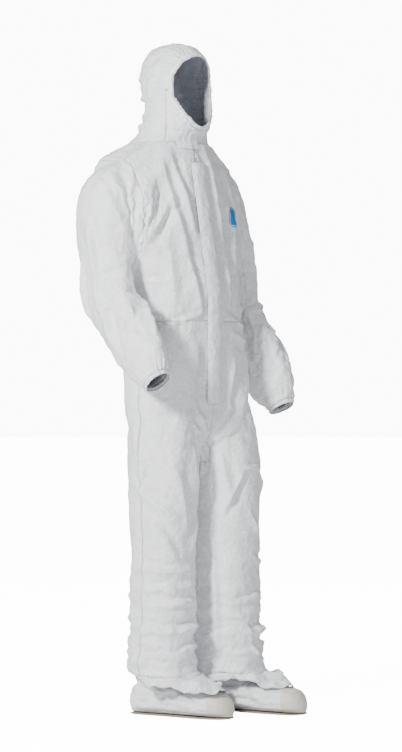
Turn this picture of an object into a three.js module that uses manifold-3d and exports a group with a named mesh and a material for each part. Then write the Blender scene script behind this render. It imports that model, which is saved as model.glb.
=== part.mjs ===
// A hooded protective coverall with attached boots, standing as worn.
// Millimetres, +Z up. The wearer faces -Y and the wearer's left is +X.
// Every cloth panel is a thin shell cut from one lofted form, so that neighbours line up at their seams.
import * as THREE from "three";
import { mergeVertices } from "three/addons/utils/BufferGeometryUtils.js";
import Module from "manifold-3d";

const wasm = await Module();
wasm.setup();

// ---- Driving dimensions -------------------------------------------------------------------------
const WALL = 2; // thickness that stands for the cloth with its seam allowances
const SEAM_GAP = 0.8; // clear gap between two panels at a seam
const FIT_GAP = 0.6; // clear gap between a trim piece and the panel it sits on

const WAIST_Z = 1075;
const NECK_Z = 1568;
const HEM_Z = 112;
const SHOULDER_SLANT = 26;
const ARMHOLE_X = 190; // the plane of each armhole, from the mid-plane
const BODY_POWER = 3; // a superellipse power: the body sections are a little boxy
const SHOULDER_FRONT_POWER = 2.2; // the shoulders are round in front and square behind
const SHOULDER_BACK_POWER = 4.5;
const LEG_POWER = 2.2;
const ROUND_POWER = 2;

const THROAT_Z = 1545; // the closure runs straight from here to the belly, and straight again to its foot
const THROAT_FORWARD = 106;
const NECK_BEND_Z = THROAT_Z + 10; // above this the front leans in to the neck
const BELLY_Z = 1150;
const BELLY_FORWARD = 180;
const CLOSURE_FOOT_Z = 850;
const CLOSURE_FOOT_FORWARD = 178;
const NECK_FORWARD = 88;

const SIDE_SEAM_FORWARD = 16; // the bodice's side seams sit this far in front of the middle
const ELASTIC_BACK = 6; // the waist elastic runs round the back, from this far behind the middle
const CHEEK_SEAM_FORWARD = 70; // the hood's front seam
const CROWN_HALF_WIDTH = 34; // half the width of the hood's centre strip

const FACE_Z = 1707; // centre of the face opening
const FACE_HALF_WIDTH = 73;
const FACE_HALF_HEIGHT = 96;
const FACE_EGG = 0.16; // how much narrower the opening is at the chin
const FACE_BAND = 9; // width of the face opening's hem

const TAPE_WIDTH = 13;
const TAPE_THICK = 0.8;
const TEETH_WIDTH = 2.6;
const TEETH_THICK = 2.2;
const PLACKET_HALF = 7.5; // half the slot between the two front panels
const SLIDER_WIDTH = 9;
const SLIDER_LENGTH = 13;
const SLIDER_THICK = 6.2;
const SLIDER_PARK_Z = 1532; // middle of the slider when the closure is shut
const PULL_LENGTH = 19;
const PULL_WIDTH = 5.5;
const PULL_THICK = 1.3;
const STOP_HEIGHT = 4;

const FLAP_TOP_Z = 1508;
const FLAP_SPLIT_Z = BELLY_Z + 10;
const FLAP_FOOT_Z = 862;
const FLAP_SEWN_X = 27; // the sewn edge, on the wearer's left
const FLAP_FREE_X = -29;
const FLAP_RISE = 10.5; // how far the flap stands off the panels over the slider's path
const FLAP_THICK = 1.6;
const CHIN_FLAP_TOP_Z = 1634;
const CHIN_FLAP_FOOT_Z = 1549;

const BADGE_X = 124;
const BADGE_Z = 1366;
const BADGE_HALF_WIDTH = 22;
const BADGE_HALF_HEIGHT = 28;

const FOREARM = 308; // elbow to wrist
const ELBOW_OUT = 249;
const CUFF_WIDTH = 12;
const RIGHT_ARM = { side: -1, elbowForward: 24, elbowZ: 1147, pitch: 39, splay: 0 };
const LEFT_ARM = { side: 1, elbowForward: 26, elbowZ: 1108, pitch: 27, splay: 6 };

const FOOT_TURN = 20; // degrees that both feet turn to the wearer's left of straight ahead
const FOOT_BACK = 68; // ankle to the back of the heel
const FOOT_FRONT = 232; // ankle to the tip of the toe
const SOLE_THICK = 3;
const BOOT_TOP_Z = 176;
const BOOT_BAND = 16;
const TOE_CAP_LENGTH = 52;
const TOE_CAP_THICK = 1.2;
const RIGHT_FOOT = { x: -102, forward: 50 };
const LEFT_FOOT = { x: 104, forward: 128 };

const BODY_SEGMENTS = 36;
const LEG_SEGMENTS = 20;
const SLEEVE_SEGMENTS = 20;
const HOOD_SEGMENTS = 28;
const FOOT_SEGMENTS = 16;
const FACE_SEGMENTS = 32;

// ---- Profiles: rows of stations, with smooth values between them -------------------------------
// Body: z, half width, distance of the back behind the mid-plane.
const BODY = [
  [740, 150, 4],
  [795, 189, 26],
  [850, 199, 34],
  [900, 198, 35],
  [980, 186, 52],
  [1075, 167, 72],
  [1180, 168, 94],
  [1235, 183, 108],
  [1290, 208, 118],
  [1370, 226, 124],
  [1450, 226, 124],
  [1500, 212, 120],
  [1530, 186, 114],
  [1550, 150, 106],
  [1568, 104, 96],
  [1590, 96, 94],
];
// Hood: z, forward offset of its middle, half width, depth in front of and behind that middle.
// Beside the face its width follows the opening.
const HOOD = [
  [1550, -8, 118, 98, 98],
  [1568, -6, 104, 94, 90],
  [1592, 2, 97, 100, 92],
  [1614, 14, 91, 118, 96],
  [1640, 26, FACE_HALF_WIDTH + 14, 112, 92],
  [1670, 28, FACE_HALF_WIDTH + 14, 108, 92],
  [1705, 27, FACE_HALF_WIDTH + 17, 108, 102],
  [1745, 26, FACE_HALF_WIDTH + 18, 108, 110],
  [1782, 25, FACE_HALF_WIDTH + 13, 100, 105],
  [1812, 24, 74, 86, 90],
  [1834, 23, 53, 62, 65],
  [1846, 22, 25, 30, 30],
];
// Leg: z, distance of its middle from the mid-plane, share of the foot's forward offset,
// half width, half depth.
const LEG = [
  [90, 104, 1.0, 96, 106],
  [130, 105, 1.0, 92, 99],
  [220, 106, 1.0, 85, 90],
  [330, 106, 1.0, 82, 87],
  [480, 105, 0.95, 84, 90],
  [620, 103, 0.8, 89, 98],
  [740, 100, 0.55, 94, 105],
  [800, 98, 0.38, 95, 101],
  [850, 96, 0.2, 94, 94],
  [900, 92, 0.1, 86, 84],
];
const RIGHT_LEG = { side: -1, forward: 80, full: 0.98 }; // full: how full the cloth hangs
const LEFT_LEG = { side: 1, forward: 119, full: 1.07 };
const HIP_FORWARD = 76;
// Upper sleeve: distance out, forward, z, outward tilt, forward pitch, half width, half depth.
const UPPER_SLEEVE = [
  [178, -20, 1392, 90, 0, 134, 98],
  [206, -21, 1378, 64, 0, 116, 95],
  [226, -18, 1318, 34, 0, 84, 91],
  [237, -2, 1240, 10, 3, 56, 87],
];
// Forearm: distance from the elbow, half width, half depth.
const FORE_SLEEVE = [
  [0, 50, 87],
  [90, 50, 85],
  [190, 50, 82],
  [252, 46, 69],
  [FOREARM - CUFF_WIDTH, 34, 41],
  [FOREARM, 33, 40],
];
// Boot: distance in front of the heel's back, half width, height.
const BOOT = [
  [0, 16, 62],
  [13, 33, 80],
  [56, 42, 104],
  [104, 44, 104],
  [150, 49, 92],
  [206, 53, 76],
  [262, 49, 64],
  [288, 36, 52],
  [300, 15, 34],
];

// ---- Small tools --------------------------------------------------------------------------------
const rad = THREE.MathUtils.degToRad;
const lerp = THREE.MathUtils.lerp;
const vec = (x, y, z) => new THREE.Vector3(x, y, z);
const FAR = 3000; // larger than the suit, for cutting boxes

// A function of the first column that gives the other columns, smooth between the rows.
function profile(rows) {
  const values = rows.flatMap((row) => row.slice(1));
  const size = rows[0].length - 1;
  const between = new THREE.CubicInterpolant(rows.map((row) => row[0]), values, size, new Float64Array(size));
  return (at) => Array.from(between.evaluate(at));
}

function solidOf(geometry) {
  const bare = geometry.clone();
  bare.deleteAttribute("normal");
  bare.deleteAttribute("uv");
  const merged = mergeVertices(bare, 1e-3);
  const mesh = new wasm.Mesh({
    numProp: 3,
    vertProperties: new Float32Array(merged.attributes.position.array),
    triVerts: new Uint32Array(merged.index.array),
  });
  return new wasm.Manifold(mesh);
}

function geometryOf(solid) {
  const mesh = solid.getMesh();
  const geometry = new THREE.BufferGeometry();
  geometry.setAttribute("position", new THREE.BufferAttribute(new Float32Array(mesh.vertProperties), 3));
  geometry.setIndex(new THREE.BufferAttribute(new Uint32Array(mesh.triVerts), 1));
  geometry.computeVertexNormals();
  return geometry;
}

// A closed solid through a list of rings with the same number of points, with flat ends.
function loft(rings) {
  const count = rings[0].length;
  const points = rings.flat();
  const faces = [];
  for (let i = 0; i < rings.length - 1; i++) {
    for (let j = 0; j < count; j++) {
      const k = (j + 1) % count;
      const [a, b, c, d] = [i * count + j, i * count + k, (i + 1) * count + k, (i + 1) * count + j];
      faces.push(a, b, c, a, c, d);
    }
  }
  const ends = [
    [0, true],
    [rings.length - 1, false],
  ];
  for (const [ring, first] of ends) {
    const middle = rings[ring].reduce((sum, p) => sum.add(p), vec(0, 0, 0)).divideScalar(count);
    points.push(middle);
    for (let j = 0; j < count; j++) {
      const [a, b] = [ring * count + j, ring * count + ((j + 1) % count)];
      faces.push(points.length - 1, first ? b : a, first ? a : b);
    }
  }
  const geometry = new THREE.BufferGeometry().setFromPoints(points);
  geometry.setIndex(faces);
  const made = solidOf(geometry);
  if (made.volume() > 0) return made;
  geometry.setIndex(faces.reverse());
  return solidOf(geometry);
}

// A box between two corners, as a solid for cutting.
function block(low, high) {
  const size = vec(...high).sub(vec(...low));
  const box = new THREE.BoxGeometry(size.x, size.y, size.z);
  box.translate(low[0] + size.x / 2, low[1] + size.y / 2, low[2] + size.z / 2);
  return solidOf(box);
}

const between = (axis, low, high) => {
  const [a, b] = [[-FAR, -FAR, -FAR], [FAR, FAR, FAR]];
  a[axis] = low;
  b[axis] = high;
  return block(a, b);
};
const spanX = (low, high) => between(0, low, high);
const spanY = (low, high) => between(1, low, high);
const spanZ = (low, high) => between(2, low, high);

// One ring of a superellipse about a centre, in the plane of two unit directions.
// The power may be [front, back].
function ring(centre, across, deep, halfAcross, front, back, powers, segments) {
  const [frontPower, backPower] = [powers].flat().length === 2 ? powers : [powers, powers];
  const points = [];
  for (let i = 0; i < segments; i++) {
    const turn = (2 * Math.PI * i) / segments;
    const [c, s] = [Math.cos(turn), Math.sin(turn)];
    const power = s < 0 ? frontPower : backPower;
    const u = halfAcross * Math.sign(c) * Math.abs(c) ** (2 / power);
    const v = (s < 0 ? front : back) * Math.sign(s) * Math.abs(s) ** (2 / power);
    points.push(centre.clone().addScaledVector(across, u).addScaledVector(deep, v));
  }
  return points;
}
const ACROSS = vec(1, 0, 0);
const DEEP = vec(0, 1, 0);
const UP = vec(0, 0, 1);
const FOOT_POWER = 2.6;

const largestPiece = (solid) => solid.decompose().sort((a, b) => b.volume() - a.volume())[0];

// ---- Materials ----------------------------------------------------------------------------------
const finish = (color, roughness, metalness = 0) =>
  new THREE.MeshStandardMaterial({ color, roughness, metalness });
const CLOTH = finish("#f1f1f0", 0.62);
const TRIM = finish("#f6f6f5", 0.7);
const ELASTIC = finish("#e3e3e0", 0.85);
const TAPE = finish("#ececea", 0.8);
const NYLON = finish("#dddddc", 0.45);
const METAL = finish("#c9cbcc", 0.35, 1);
const SOLE = finish("#c6c3b2", 0.6);
const BADGE = finish("#1379bd", 0.5);

const suit = new THREE.Group();
function add(name, solid, material) {
  const mesh = new THREE.Mesh(geometryOf(largestPiece(solid)), material);
  mesh.name = name;
  suit.add(mesh);
}

// ---- Body and trouser shell ---------------------------------------------------------------------
const bodyAt = profile(BODY);
const legAt = profile(LEG);

// How far in front of the mid-plane the middle of the front is at a height.
// From throat to foot it is the closure's line.
const closureSlope = (BELLY_FORWARD - THROAT_FORWARD) / (THROAT_Z - BELLY_Z);
const frontLine = [
  [700, CLOSURE_FOOT_FORWARD - 60],
  [740, CLOSURE_FOOT_FORWARD - 30],
  [795, CLOSURE_FOOT_FORWARD - 2],
  [CLOSURE_FOOT_Z, CLOSURE_FOOT_FORWARD],
  [BELLY_Z, BELLY_FORWARD],
  [NECK_BEND_Z, THROAT_FORWARD - (NECK_BEND_Z - THROAT_Z) * closureSlope],
  [NECK_Z, NECK_FORWARD],
  [NECK_Z + 40, NECK_FORWARD],
];
function frontForward(z) {
  const next = frontLine.findIndex((row) => row[0] >= z);
  const [low, high] = [frontLine[next - 1], frontLine[next]];
  return lerp(low[1], high[1], (z - low[0]) / (high[0] - low[0]));
}

// The shoulders lie higher at the back than at the front, by twice this much.
function shoulderSlant(z) {
  const rise = THREE.MathUtils.smoothstep(z, 1400, 1500);
  const fall = 1 - THREE.MathUtils.smoothstep(z, 1505, NECK_Z);
  return SHOULDER_SLANT * rise * fall;
}

function bodyForm(inset) {
  const low = [740, 795, CLOSURE_FOOT_Z, 915, 980, 1030, 1075];
  const high = [BELLY_Z, 1195, 1235, 1280, 1330, 1400, 1450];
  const heights = [...low, ...high];
  heights.push(1490, 1520, THROAT_Z, 1552, 1558, NECK_Z, 1590);
  const rings = heights.map((z) => {
    const [half, back] = bodyAt(z);
    const slant = shoulderSlant(z);
    const front = frontForward(z - slant);
    const middle = vec(0, (back - front) / 2, z);
    const depth = (front + back) / 2 - inset;
    const rise = THREE.MathUtils.smoothstep(z, 1400, 1520);
    const shoulder = rise * (1 - THREE.MathUtils.smoothstep(z, 1552, NECK_Z));
    const ends = [SHOULDER_FRONT_POWER, SHOULDER_BACK_POWER];
    const powers = ends.map((power) => lerp(BODY_POWER, power, shoulder));
    const level = ring(middle, ACROSS, DEEP, half - inset, depth, depth, powers, BODY_SEGMENTS);
    return level.map((p) => vec(p.x, p.y, z + (slant * p.y) / (p.y < 0 ? front - inset : back)));
  });
  return loft(rings);
}

function legForm(leg, inset) {
  const rings = LEG_HEIGHTS.map((z) => {
    const [out, share, half, deep] = legAt(z);
    const full = lerp(1, leg.full, share);
    const [wide, depth] = [half * full - inset, deep * full - inset];
    const middle = vec(leg.side * out, -lerp(HIP_FORWARD, leg.forward, share), z);
    return ring(middle, ACROSS, DEEP, wide, depth, depth, LEG_POWER, LEG_SEGMENTS);
  });
  return loft(rings);
}
const LEG_HEIGHTS = [HEM_Z - 20, HEM_Z, 170, 290, 450, 620, 740, 800, 850, 900];

function lowerForm(inset) {
  return bodyForm(inset)
    .add(legForm(RIGHT_LEG, inset))
    .add(legForm(LEFT_LEG, inset));
}
const bodyOuter = lowerForm(0);
const bodyShell = bodyOuter
  .subtract(lowerForm(WALL))
  .intersect(spanZ(HEM_Z, NECK_Z))
  .subtract(spanX(ARMHOLE_X, FAR).intersect(spanZ(WAIST_Z, FAR)))
  .subtract(spanX(-FAR, -ARMHOLE_X).intersect(spanZ(WAIST_Z, FAR)));

// The closure's slot runs from the neck to the closure's foot, through the front only.
const slot = block([-PLACKET_HALF, -FAR, CLOSURE_FOOT_Z - 6], [PLACKET_HALF, -60, FAR]);
const half = SEAM_GAP / 2;
const frontPart = spanY(-FAR, -SIDE_SEAM_FORWARD - half);
const backPart = spanY(-SIDE_SEAM_FORWARD + half, FAR);
const upperPart = spanZ(WAIST_Z + half, FAR);
const lowerPart = spanZ(-FAR, WAIST_Z - half);
const LEG_SEAM_FORWARD = 84; // the trouser side seams run down past the middle of each leg
const legFront = (forward) => spanY(-FAR, -forward - half);
const legBack = (forward) => spanY(-forward + half, FAR);

// The crotch gusset is a square patch around the place where the legs meet.
const GUSSET_HALF = 46;
const GUSSET_DEEP = 62; // half its size from front to back
const GUSSET_FOOT_Z = 690;
const GUSSET_TOP_Z = 800;
const gussetBlock = (grow) =>
  block(
    [-GUSSET_HALF - grow, -LEG_SEAM_FORWARD - GUSSET_DEEP - grow, GUSSET_FOOT_Z + SEAM_GAP - grow],
    [GUSSET_HALF + grow, -LEG_SEAM_FORWARD + GUSSET_DEEP + grow, GUSSET_TOP_Z + grow],
  );

for (const [name, side] of [["right", -1], ["left", 1]]) {
  const own = side < 0 ? spanX(-FAR, -half) : spanX(half, FAR);
  const mine = bodyShell.intersect(own);
  add(`${name}_front_bodice`, mine.intersect(frontPart).intersect(upperPart).subtract(slot), CLOTH);
  add(`${name}_back_bodice`, mine.intersect(backPart).intersect(upperPart), CLOTH);
  const trousers = mine.intersect(lowerPart).subtract(gussetBlock(SEAM_GAP));
  add(`${name}_front_trouser`, trousers.intersect(legFront(LEG_SEAM_FORWARD)).subtract(slot), CLOTH);
  add(`${name}_back_trouser`, trousers.intersect(legBack(LEG_SEAM_FORWARD)), CLOTH);
}
add("crotch_gusset", bodyShell.intersect(gussetBlock(0)), CLOTH);

// ---- Sleeves ------------------------------------------------------------------------------------
// Stations of one sleeve from the armhole to the wrist: centre, direction, half width, half depth.
function sleeveStations(arm) {
  const upper = UPPER_SLEEVE.map(([out, forward, z, tilt, pitch, wide, deep]) => ({
    centre: vec(arm.side * out, -forward, z),
    tilt,
    pitch,
    wide,
    deep,
  }));
  const elbow = vec(arm.side * ELBOW_OUT, -arm.elbowForward, arm.elbowZ);
  const down = vec(arm.side * Math.sin(rad(arm.splay)), -Math.sin(rad(arm.pitch)), -Math.cos(rad(arm.pitch)));
  const fore = FORE_SLEEVE.map(([along, wide, deep]) => ({
    centre: elbow.clone().addScaledVector(down, along),
    tilt: 0,
    pitch: along === 0 ? arm.pitch / 2 : arm.pitch,
    wide,
    deep,
  }));
  return [...upper, ...fore];
}

function sleeveRing(arm, station, inset) {
  const [tilt, pitch] = [rad(station.tilt), rad(station.pitch)];
  const down = Math.cos(tilt);
  const along = vec(arm.side * Math.sin(tilt), -Math.sin(pitch) * down, -Math.cos(pitch) * down);
  const deep = DEEP.clone().addScaledVector(along, -DEEP.dot(along)).normalize();
  const across = deep.clone().cross(along).normalize();
  const [wide, depth] = [station.wide - inset, station.deep - inset];
  return ring(station.centre, across, deep, wide, depth, depth, ROUND_POWER, SLEEVE_SEGMENTS);
}

// The solid inside a sleeve between two stations, grown or shrunk by the inset.
function sleeveForm(arm, inset, from = 0, to = Infinity) {
  const stations = sleeveStations(arm).slice(from, to);
  return loft(stations.map((station) => sleeveRing(arm, station, inset)));
}

for (const [name, arm] of [["right", RIGHT_ARM], ["left", LEFT_ARM]]) {
  const outside = arm.side < 0 ? spanX(-FAR, -ARMHOLE_X - SEAM_GAP) : spanX(ARMHOLE_X + SEAM_GAP, FAR);
  const stations = sleeveStations(arm);
  const last = stations.length;
  const bore = loft([...stations.map((s) => sleeveRing(arm, s, WALL)), endRing(arm, stations, 3, WALL)]);
  add(`${name}_sleeve`, sleeveForm(arm, 0, 0, last - 1).subtract(bore).intersect(outside), CLOTH);

  // The cuff's hem closes round the wrist and holds the elastic inside it.
  const hemStart = shifted(stations[last - 2], stations[last - 1], SEAM_GAP);
  const hem = [sleeveRing(arm, hemStart, 0), sleeveRing(arm, stations[last - 1], 0)];
  const hemBore = [sleeveRing(arm, stations[last - 2], WALL), endRing(arm, stations, 3, WALL)];
  add(`${name}_cuff_hem`, loft(hem).subtract(loft(hemBore)), TRIM);
  const bandIn = [0.2, 0.8].map((t) => shifted(stations[last - 2], stations[last - 1], CUFF_WIDTH * t));
  const band = loft(bandIn.map((s) => sleeveRing(arm, s, WALL + FIT_GAP)));
  const bandBore = [-0.2, 1.2].map((t) => shifted(stations[last - 2], stations[last - 1], CUFF_WIDTH * t));
  const hollow = loft(bandBore.map((s) => sleeveRing(arm, s, 2 * WALL)));
  add(`${name}_wrist_elastic`, band.subtract(hollow), ELASTIC);
}

function shifted(from, to, distance) {
  const share = distance / from.centre.distanceTo(to.centre);
  return {
    ...from,
    centre: from.centre.clone().lerp(to.centre, share),
    wide: lerp(from.wide, to.wide, share),
    deep: lerp(from.deep, to.deep, share),
  };
}

function endRing(arm, stations, beyond, inset) {
  const last = stations.length - 1;
  return sleeveRing(arm, shifted(stations[last - 1], stations[last], CUFF_WIDTH + beyond), inset);
}

// ---- Hood ---------------------------------------------------------------------------------------
const hoodAt = profile(HOOD);
const HOOD_HEIGHTS = [1552, 1568, 1590, 1612, 1636, 1665, 1700, 1735, 1768, 1796, 1818, 1834, 1843];

function hoodForm(inset) {
  const rings = HOOD_HEIGHTS.map((z) => {
    const [forward, width, front, back] = hoodAt(z);
    const middle = vec(0, -forward, z - (z > FACE_Z ? inset : 0));
    return ring(middle, ACROSS, DEEP, width - inset, front - inset, back - inset, ROUND_POWER, HOOD_SEGMENTS);
  });
  return loft(rings);
}

// The face opening's outline: an ellipse that narrows towards the chin, pushed through the hood's front.
function faceCut(grow) {
  const outline = new THREE.Shape();
  for (let i = 0; i < FACE_SEGMENTS; i++) {
    const turn = (2 * Math.PI * i) / FACE_SEGMENTS;
    const narrow = 1 + FACE_EGG * Math.sin(turn);
    const x = (FACE_HALF_WIDTH + grow) * Math.cos(turn) * narrow;
    const z = (FACE_HALF_HEIGHT + grow) * Math.sin(turn);
    if (i === 0) outline.moveTo(x, z);
    else outline.lineTo(x, z);
  }
  const reach = 200;
  const cutter = new THREE.ExtrudeGeometry(outline, { depth: reach, bevelEnabled: false, steps: 1 });
  cutter.rotateX(Math.PI / 2);
  cutter.translate(0, -20, FACE_Z);
  return solidOf(cutter);
}

const hoodShell = hoodForm(0).subtract(hoodForm(WALL)).intersect(spanZ(NECK_Z + SEAM_GAP, FAR));
const hoodCloth = hoodShell.subtract(faceCut(FACE_BAND + SEAM_GAP));
const cheek = spanY(-FAR, -CHEEK_SEAM_FORWARD - half).intersect(spanZ(-FAR, FACE_Z - 4));
const cheekGap = spanY(-FAR, -CHEEK_SEAM_FORWARD + half).intersect(spanZ(-FAR, FACE_Z - 4 + SEAM_GAP));
const crown = spanX(-CROWN_HALF_WIDTH, CROWN_HALF_WIDTH).subtract(cheekGap);
const crownGap = spanX(-CROWN_HALF_WIDTH - SEAM_GAP, CROWN_HALF_WIDTH + SEAM_GAP);
add("hood_crown_strip", hoodCloth.intersect(crown), CLOTH);
for (const [name, side] of [["right", -1], ["left", 1]]) {
  const own = side < 0 ? spanX(-FAR, -half) : spanX(half, FAR);
  const mine = hoodCloth.intersect(own);
  add(`hood_${name}_side`, mine.subtract(crownGap).subtract(cheekGap), CLOTH);
  add(`hood_${name}_cheek`, mine.intersect(cheek), CLOTH);
}
const faceHem = hoodShell.intersect(faceCut(FACE_BAND)).subtract(faceCut(0));
add("face_hem", faceHem, TRIM);
const elasticZone = faceCut(FACE_BAND - 1.5).subtract(faceCut(2));
const elasticShell = hoodForm(WALL + FIT_GAP).subtract(hoodForm(2 * WALL + FIT_GAP));
add("face_elastic", elasticShell.intersect(elasticZone).intersect(spanY(-FAR, -30)), ELASTIC);

// The neck seam's binding sits outside the top of the bodice.
const bindingZone = spanZ(NECK_Z - 9, NECK_Z - 3);
const BINDING_THICK = 1.4;
const BINDING_FORWARD = 54; // it ends this far in front of the middle, on both sides
const bindingForm = (grow) => bodyForm(-grow);
add(
  "neck_binding",
  bindingForm(FIT_GAP + BINDING_THICK)
    .subtract(bindingForm(FIT_GAP))
    .intersect(bindingZone)
    .intersect(spanY(-BINDING_FORWARD, FAR)),
  TRIM,
);

// The chin flap covers the closure's top end, on the hood. Its upper corner is round.
function chinFlapOutline() {
  const outline = new THREE.Shape();
  const [low, high] = [CHIN_FLAP_FOOT_Z, CHIN_FLAP_TOP_Z];
  const chin = FACE_Z - FACE_HALF_HEIGHT - FACE_BAND;
  outline.moveTo(-54, low);
  outline.lineTo(20, low);
  outline.lineTo(14, chin - 2);
  outline.quadraticCurveTo(-20, chin - 2, -36, chin + 10);
  outline.quadraticCurveTo(-44, high, -54, high);
  outline.quadraticCurveTo(-68, high, -66, chin);
  outline.closePath();
  const cutter = new THREE.ExtrudeGeometry(outline, { depth: 150, bevelEnabled: false, curveSegments: 8 });
  cutter.rotateX(Math.PI / 2);
  cutter.translate(0, -40, 0);
  return solidOf(cutter);
}
const neckForm = (grow) => hoodForm(-grow).add(bodyForm(-grow));
const chinShell = neckForm(FIT_GAP + FLAP_THICK).subtract(neckForm(FIT_GAP));
add("chin_flap", chinShell.intersect(chinFlapOutline()), CLOTH);

// ---- Front closure ------------------------------------------------------------------------------
const closurePlace = (z) => vec(0, -frontForward(z), z);
const closureLean = Math.atan2(BELLY_FORWARD - THROAT_FORWARD, THROAT_Z - BELLY_Z);
const footLean = Math.atan2(CLOSURE_FOOT_FORWARD - BELLY_FORWARD, BELLY_Z - CLOSURE_FOOT_Z);

// A point beside the closure's line: x across, and a distance out of the suit, square to the line.
function besideClosure(x, out, z) {
  const lean = z > BELLY_Z ? closureLean : z < BELLY_Z ? footLean : (closureLean + footLean) / 2;
  const square = z === BELLY_Z ? out / Math.cos((closureLean - footLean) / 2) : out;
  return closurePlace(z).add(vec(x, -square * Math.cos(lean), square * Math.sin(lean)));
}

// A closed strip that follows the closure between two heights.
// Each of its section's points is [x, under, over].
function closureStrip(section, top, low) {
  const heights = top > BELLY_Z && low < BELLY_Z ? [top, BELLY_Z, low] : [top, low];
  const count = section.length;
  const points = heights.flatMap((z) => [
    ...section.map(([x, under]) => besideClosure(x, under, z)),
    ...section.map(([x, , over]) => besideClosure(x, over, z)),
  ]);
  const faces = [];
  const quad = (a, b, c, d) => faces.push(a, b, c, a, c, d);
  const last = (heights.length - 1) * 2 * count;
  for (let j = 0; j < count - 1; j++) {
    quad(j, j + 1, count + j + 1, count + j);
    quad(last + j + 1, last + j, last + count + j, last + count + j + 1);
  }
  for (let i = 0; i < heights.length - 1; i++) {
    const [a, b] = [i * 2 * count, (i + 1) * 2 * count];
    for (let j = 0; j < count - 1; j++) {
      quad(a + j + 1, a + j, b + j, b + j + 1);
      quad(a + count + j, a + count + j + 1, b + count + j + 1, b + count + j);
    }
    quad(a, a + count, b + count, b);
    quad(a + 2 * count - 1, a + count - 1, b + count - 1, b + 2 * count - 1);
  }
  const geometry = new THREE.BufferGeometry().setFromPoints(points);
  geometry.setIndex(faces);
  const made = solidOf(geometry);
  if (made.volume() > 0) return made;
  geometry.setIndex(faces.reverse());
  return solidOf(geometry);
}

const TAPE_OVER = -WALL - 1.6 * FIT_GAP; // the tapes lie behind the panels
const TEETH_UNDER = TAPE_OVER + FIT_GAP / 2;
const TEETH_OUT = TEETH_UNDER + TEETH_THICK / 2;
const MESH_HALF = 0.2; // half the gap between the two coils
const STOP_WIDTH = TEETH_WIDTH + 0.8;
const END_ROOM = STOP_HEIGHT + 3; // room for a stop at each end of the coils
for (const [name, side] of [["right", -1], ["left", 1]]) {
  const strip = (width, under, thick, top, low) =>
    closureStrip([MESH_HALF, MESH_HALF + width].map((x) => [side * x, under, under + thick]), top, low);
  const tape = strip(TAPE_WIDTH, TAPE_OVER - TAPE_THICK, TAPE_THICK, THROAT_Z, CLOSURE_FOOT_Z);
  add(`zip_${name}_tape`, tape, TAPE);
  const coil = strip(TEETH_WIDTH, TEETH_UNDER, TEETH_THICK, THROAT_Z - END_ROOM, CLOSURE_FOOT_Z + END_ROOM);
  add(`zip_${name}_coil`, coil, NYLON);
  const stopTop = THROAT_Z - 1;
  const stop = strip(STOP_WIDTH, TEETH_UNDER, TEETH_THICK, stopTop, stopTop - STOP_HEIGHT);
  add(`zip_${name}_top_stop`, stop, METAL);
}
const footStop = [-STOP_WIDTH, STOP_WIDTH].map((x) => [x, TEETH_UNDER, TEETH_UNDER + TEETH_THICK]);
add("zip_bottom_stop", closureStrip(footStop, CLOSURE_FOOT_Z + 1 + STOP_HEIGHT, CLOSURE_FOOT_Z + 1), METAL);

// Places a solid made about its own origin on the closure's upper line at a height, leaning with the line.
// In its own frame +Z runs up the line and -Y points out of the suit.
function onClosure(solid, z, outward) {
  const geometry = geometryOf(solid);
  geometry.rotateX(-closureLean);
  const place = besideClosure(0, outward, z);
  geometry.translate(place.x, place.y, place.z);
  return solidOf(geometry);
}
// A box about its own origin, moved out of the suit and up the line.
function bar(wide, thick, long, out = 0, up = 0) {
  const box = new THREE.BoxGeometry(wide, thick, long);
  box.translate(0, -out, up);
  return solidOf(box);
}

// The slider: a front plate with two side walls round the coils, and a bridge for the pull's pin.
const CHANNEL = TEETH_THICK + 2 * FIT_GAP;
const PLATE = 0.9;
const CHANNEL_WIDTH = 2 * (MESH_HALF + TEETH_WIDTH + FIT_GAP);
const BRIDGE_WIDTH = 2.4;
const BRIDGE_LENGTH = 8.5;
const BRIDGE_RISE = SLIDER_THICK - CHANNEL / 2 - PLATE;
const PIVOT_OUT = CHANNEL / 2 + PLATE + BRIDGE_RISE / 2;
const EYE = 1.8;
const backOpening = CHANNEL / 2 + PLATE - 0.8; // the side walls stop short of the tapes
const slider = bar(SLIDER_WIDTH, CHANNEL + 2 * PLATE, SLIDER_LENGTH)
  .subtract(bar(CHANNEL_WIDTH, CHANNEL, SLIDER_LENGTH + 2))
  .subtract(bar(SLIDER_WIDTH + 2, backOpening, SLIDER_LENGTH + 2, -0.8 - backOpening / 2))
  .add(bar(BRIDGE_WIDTH, BRIDGE_RISE, BRIDGE_LENGTH, CHANNEL / 2 + PLATE + BRIDGE_RISE / 2))
  .subtract(bar(BRIDGE_WIDTH + 2, EYE, EYE * 1.8, PIVOT_OUT));
add("zip_slider", onClosure(slider, SLIDER_PARK_Z, TEETH_OUT), METAL);

// The pull: a fork whose pin passes through the bridge's eye, with a thicker grip.
const PIN_RADIUS = 0.6;
const FORK_WIDTH = BRIDGE_WIDTH + 2 * 0.5;
const FORK_DEPTH = 5;
const pinRod = new THREE.CylinderGeometry(PIN_RADIUS, PIN_RADIUS, PULL_WIDTH, 12);
pinRod.rotateZ(Math.PI / 2);
const gripLength = PULL_LENGTH / 2;
const pull = bar(PULL_WIDTH, PULL_THICK, PULL_LENGTH, 0, PIN_RADIUS - PULL_LENGTH / 2)
  .subtract(bar(FORK_WIDTH, PULL_THICK + 2, 2 * FORK_DEPTH))
  .add(solidOf(pinRod))
  .add(bar(PULL_WIDTH - 2, PULL_THICK + 0.8, gripLength, 0, PIN_RADIUS - PULL_LENGTH + 2 + gripLength / 2));
add("zip_pull", onClosure(pull, SLIDER_PARK_Z, TEETH_OUT + PIVOT_OUT), METAL);

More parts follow.
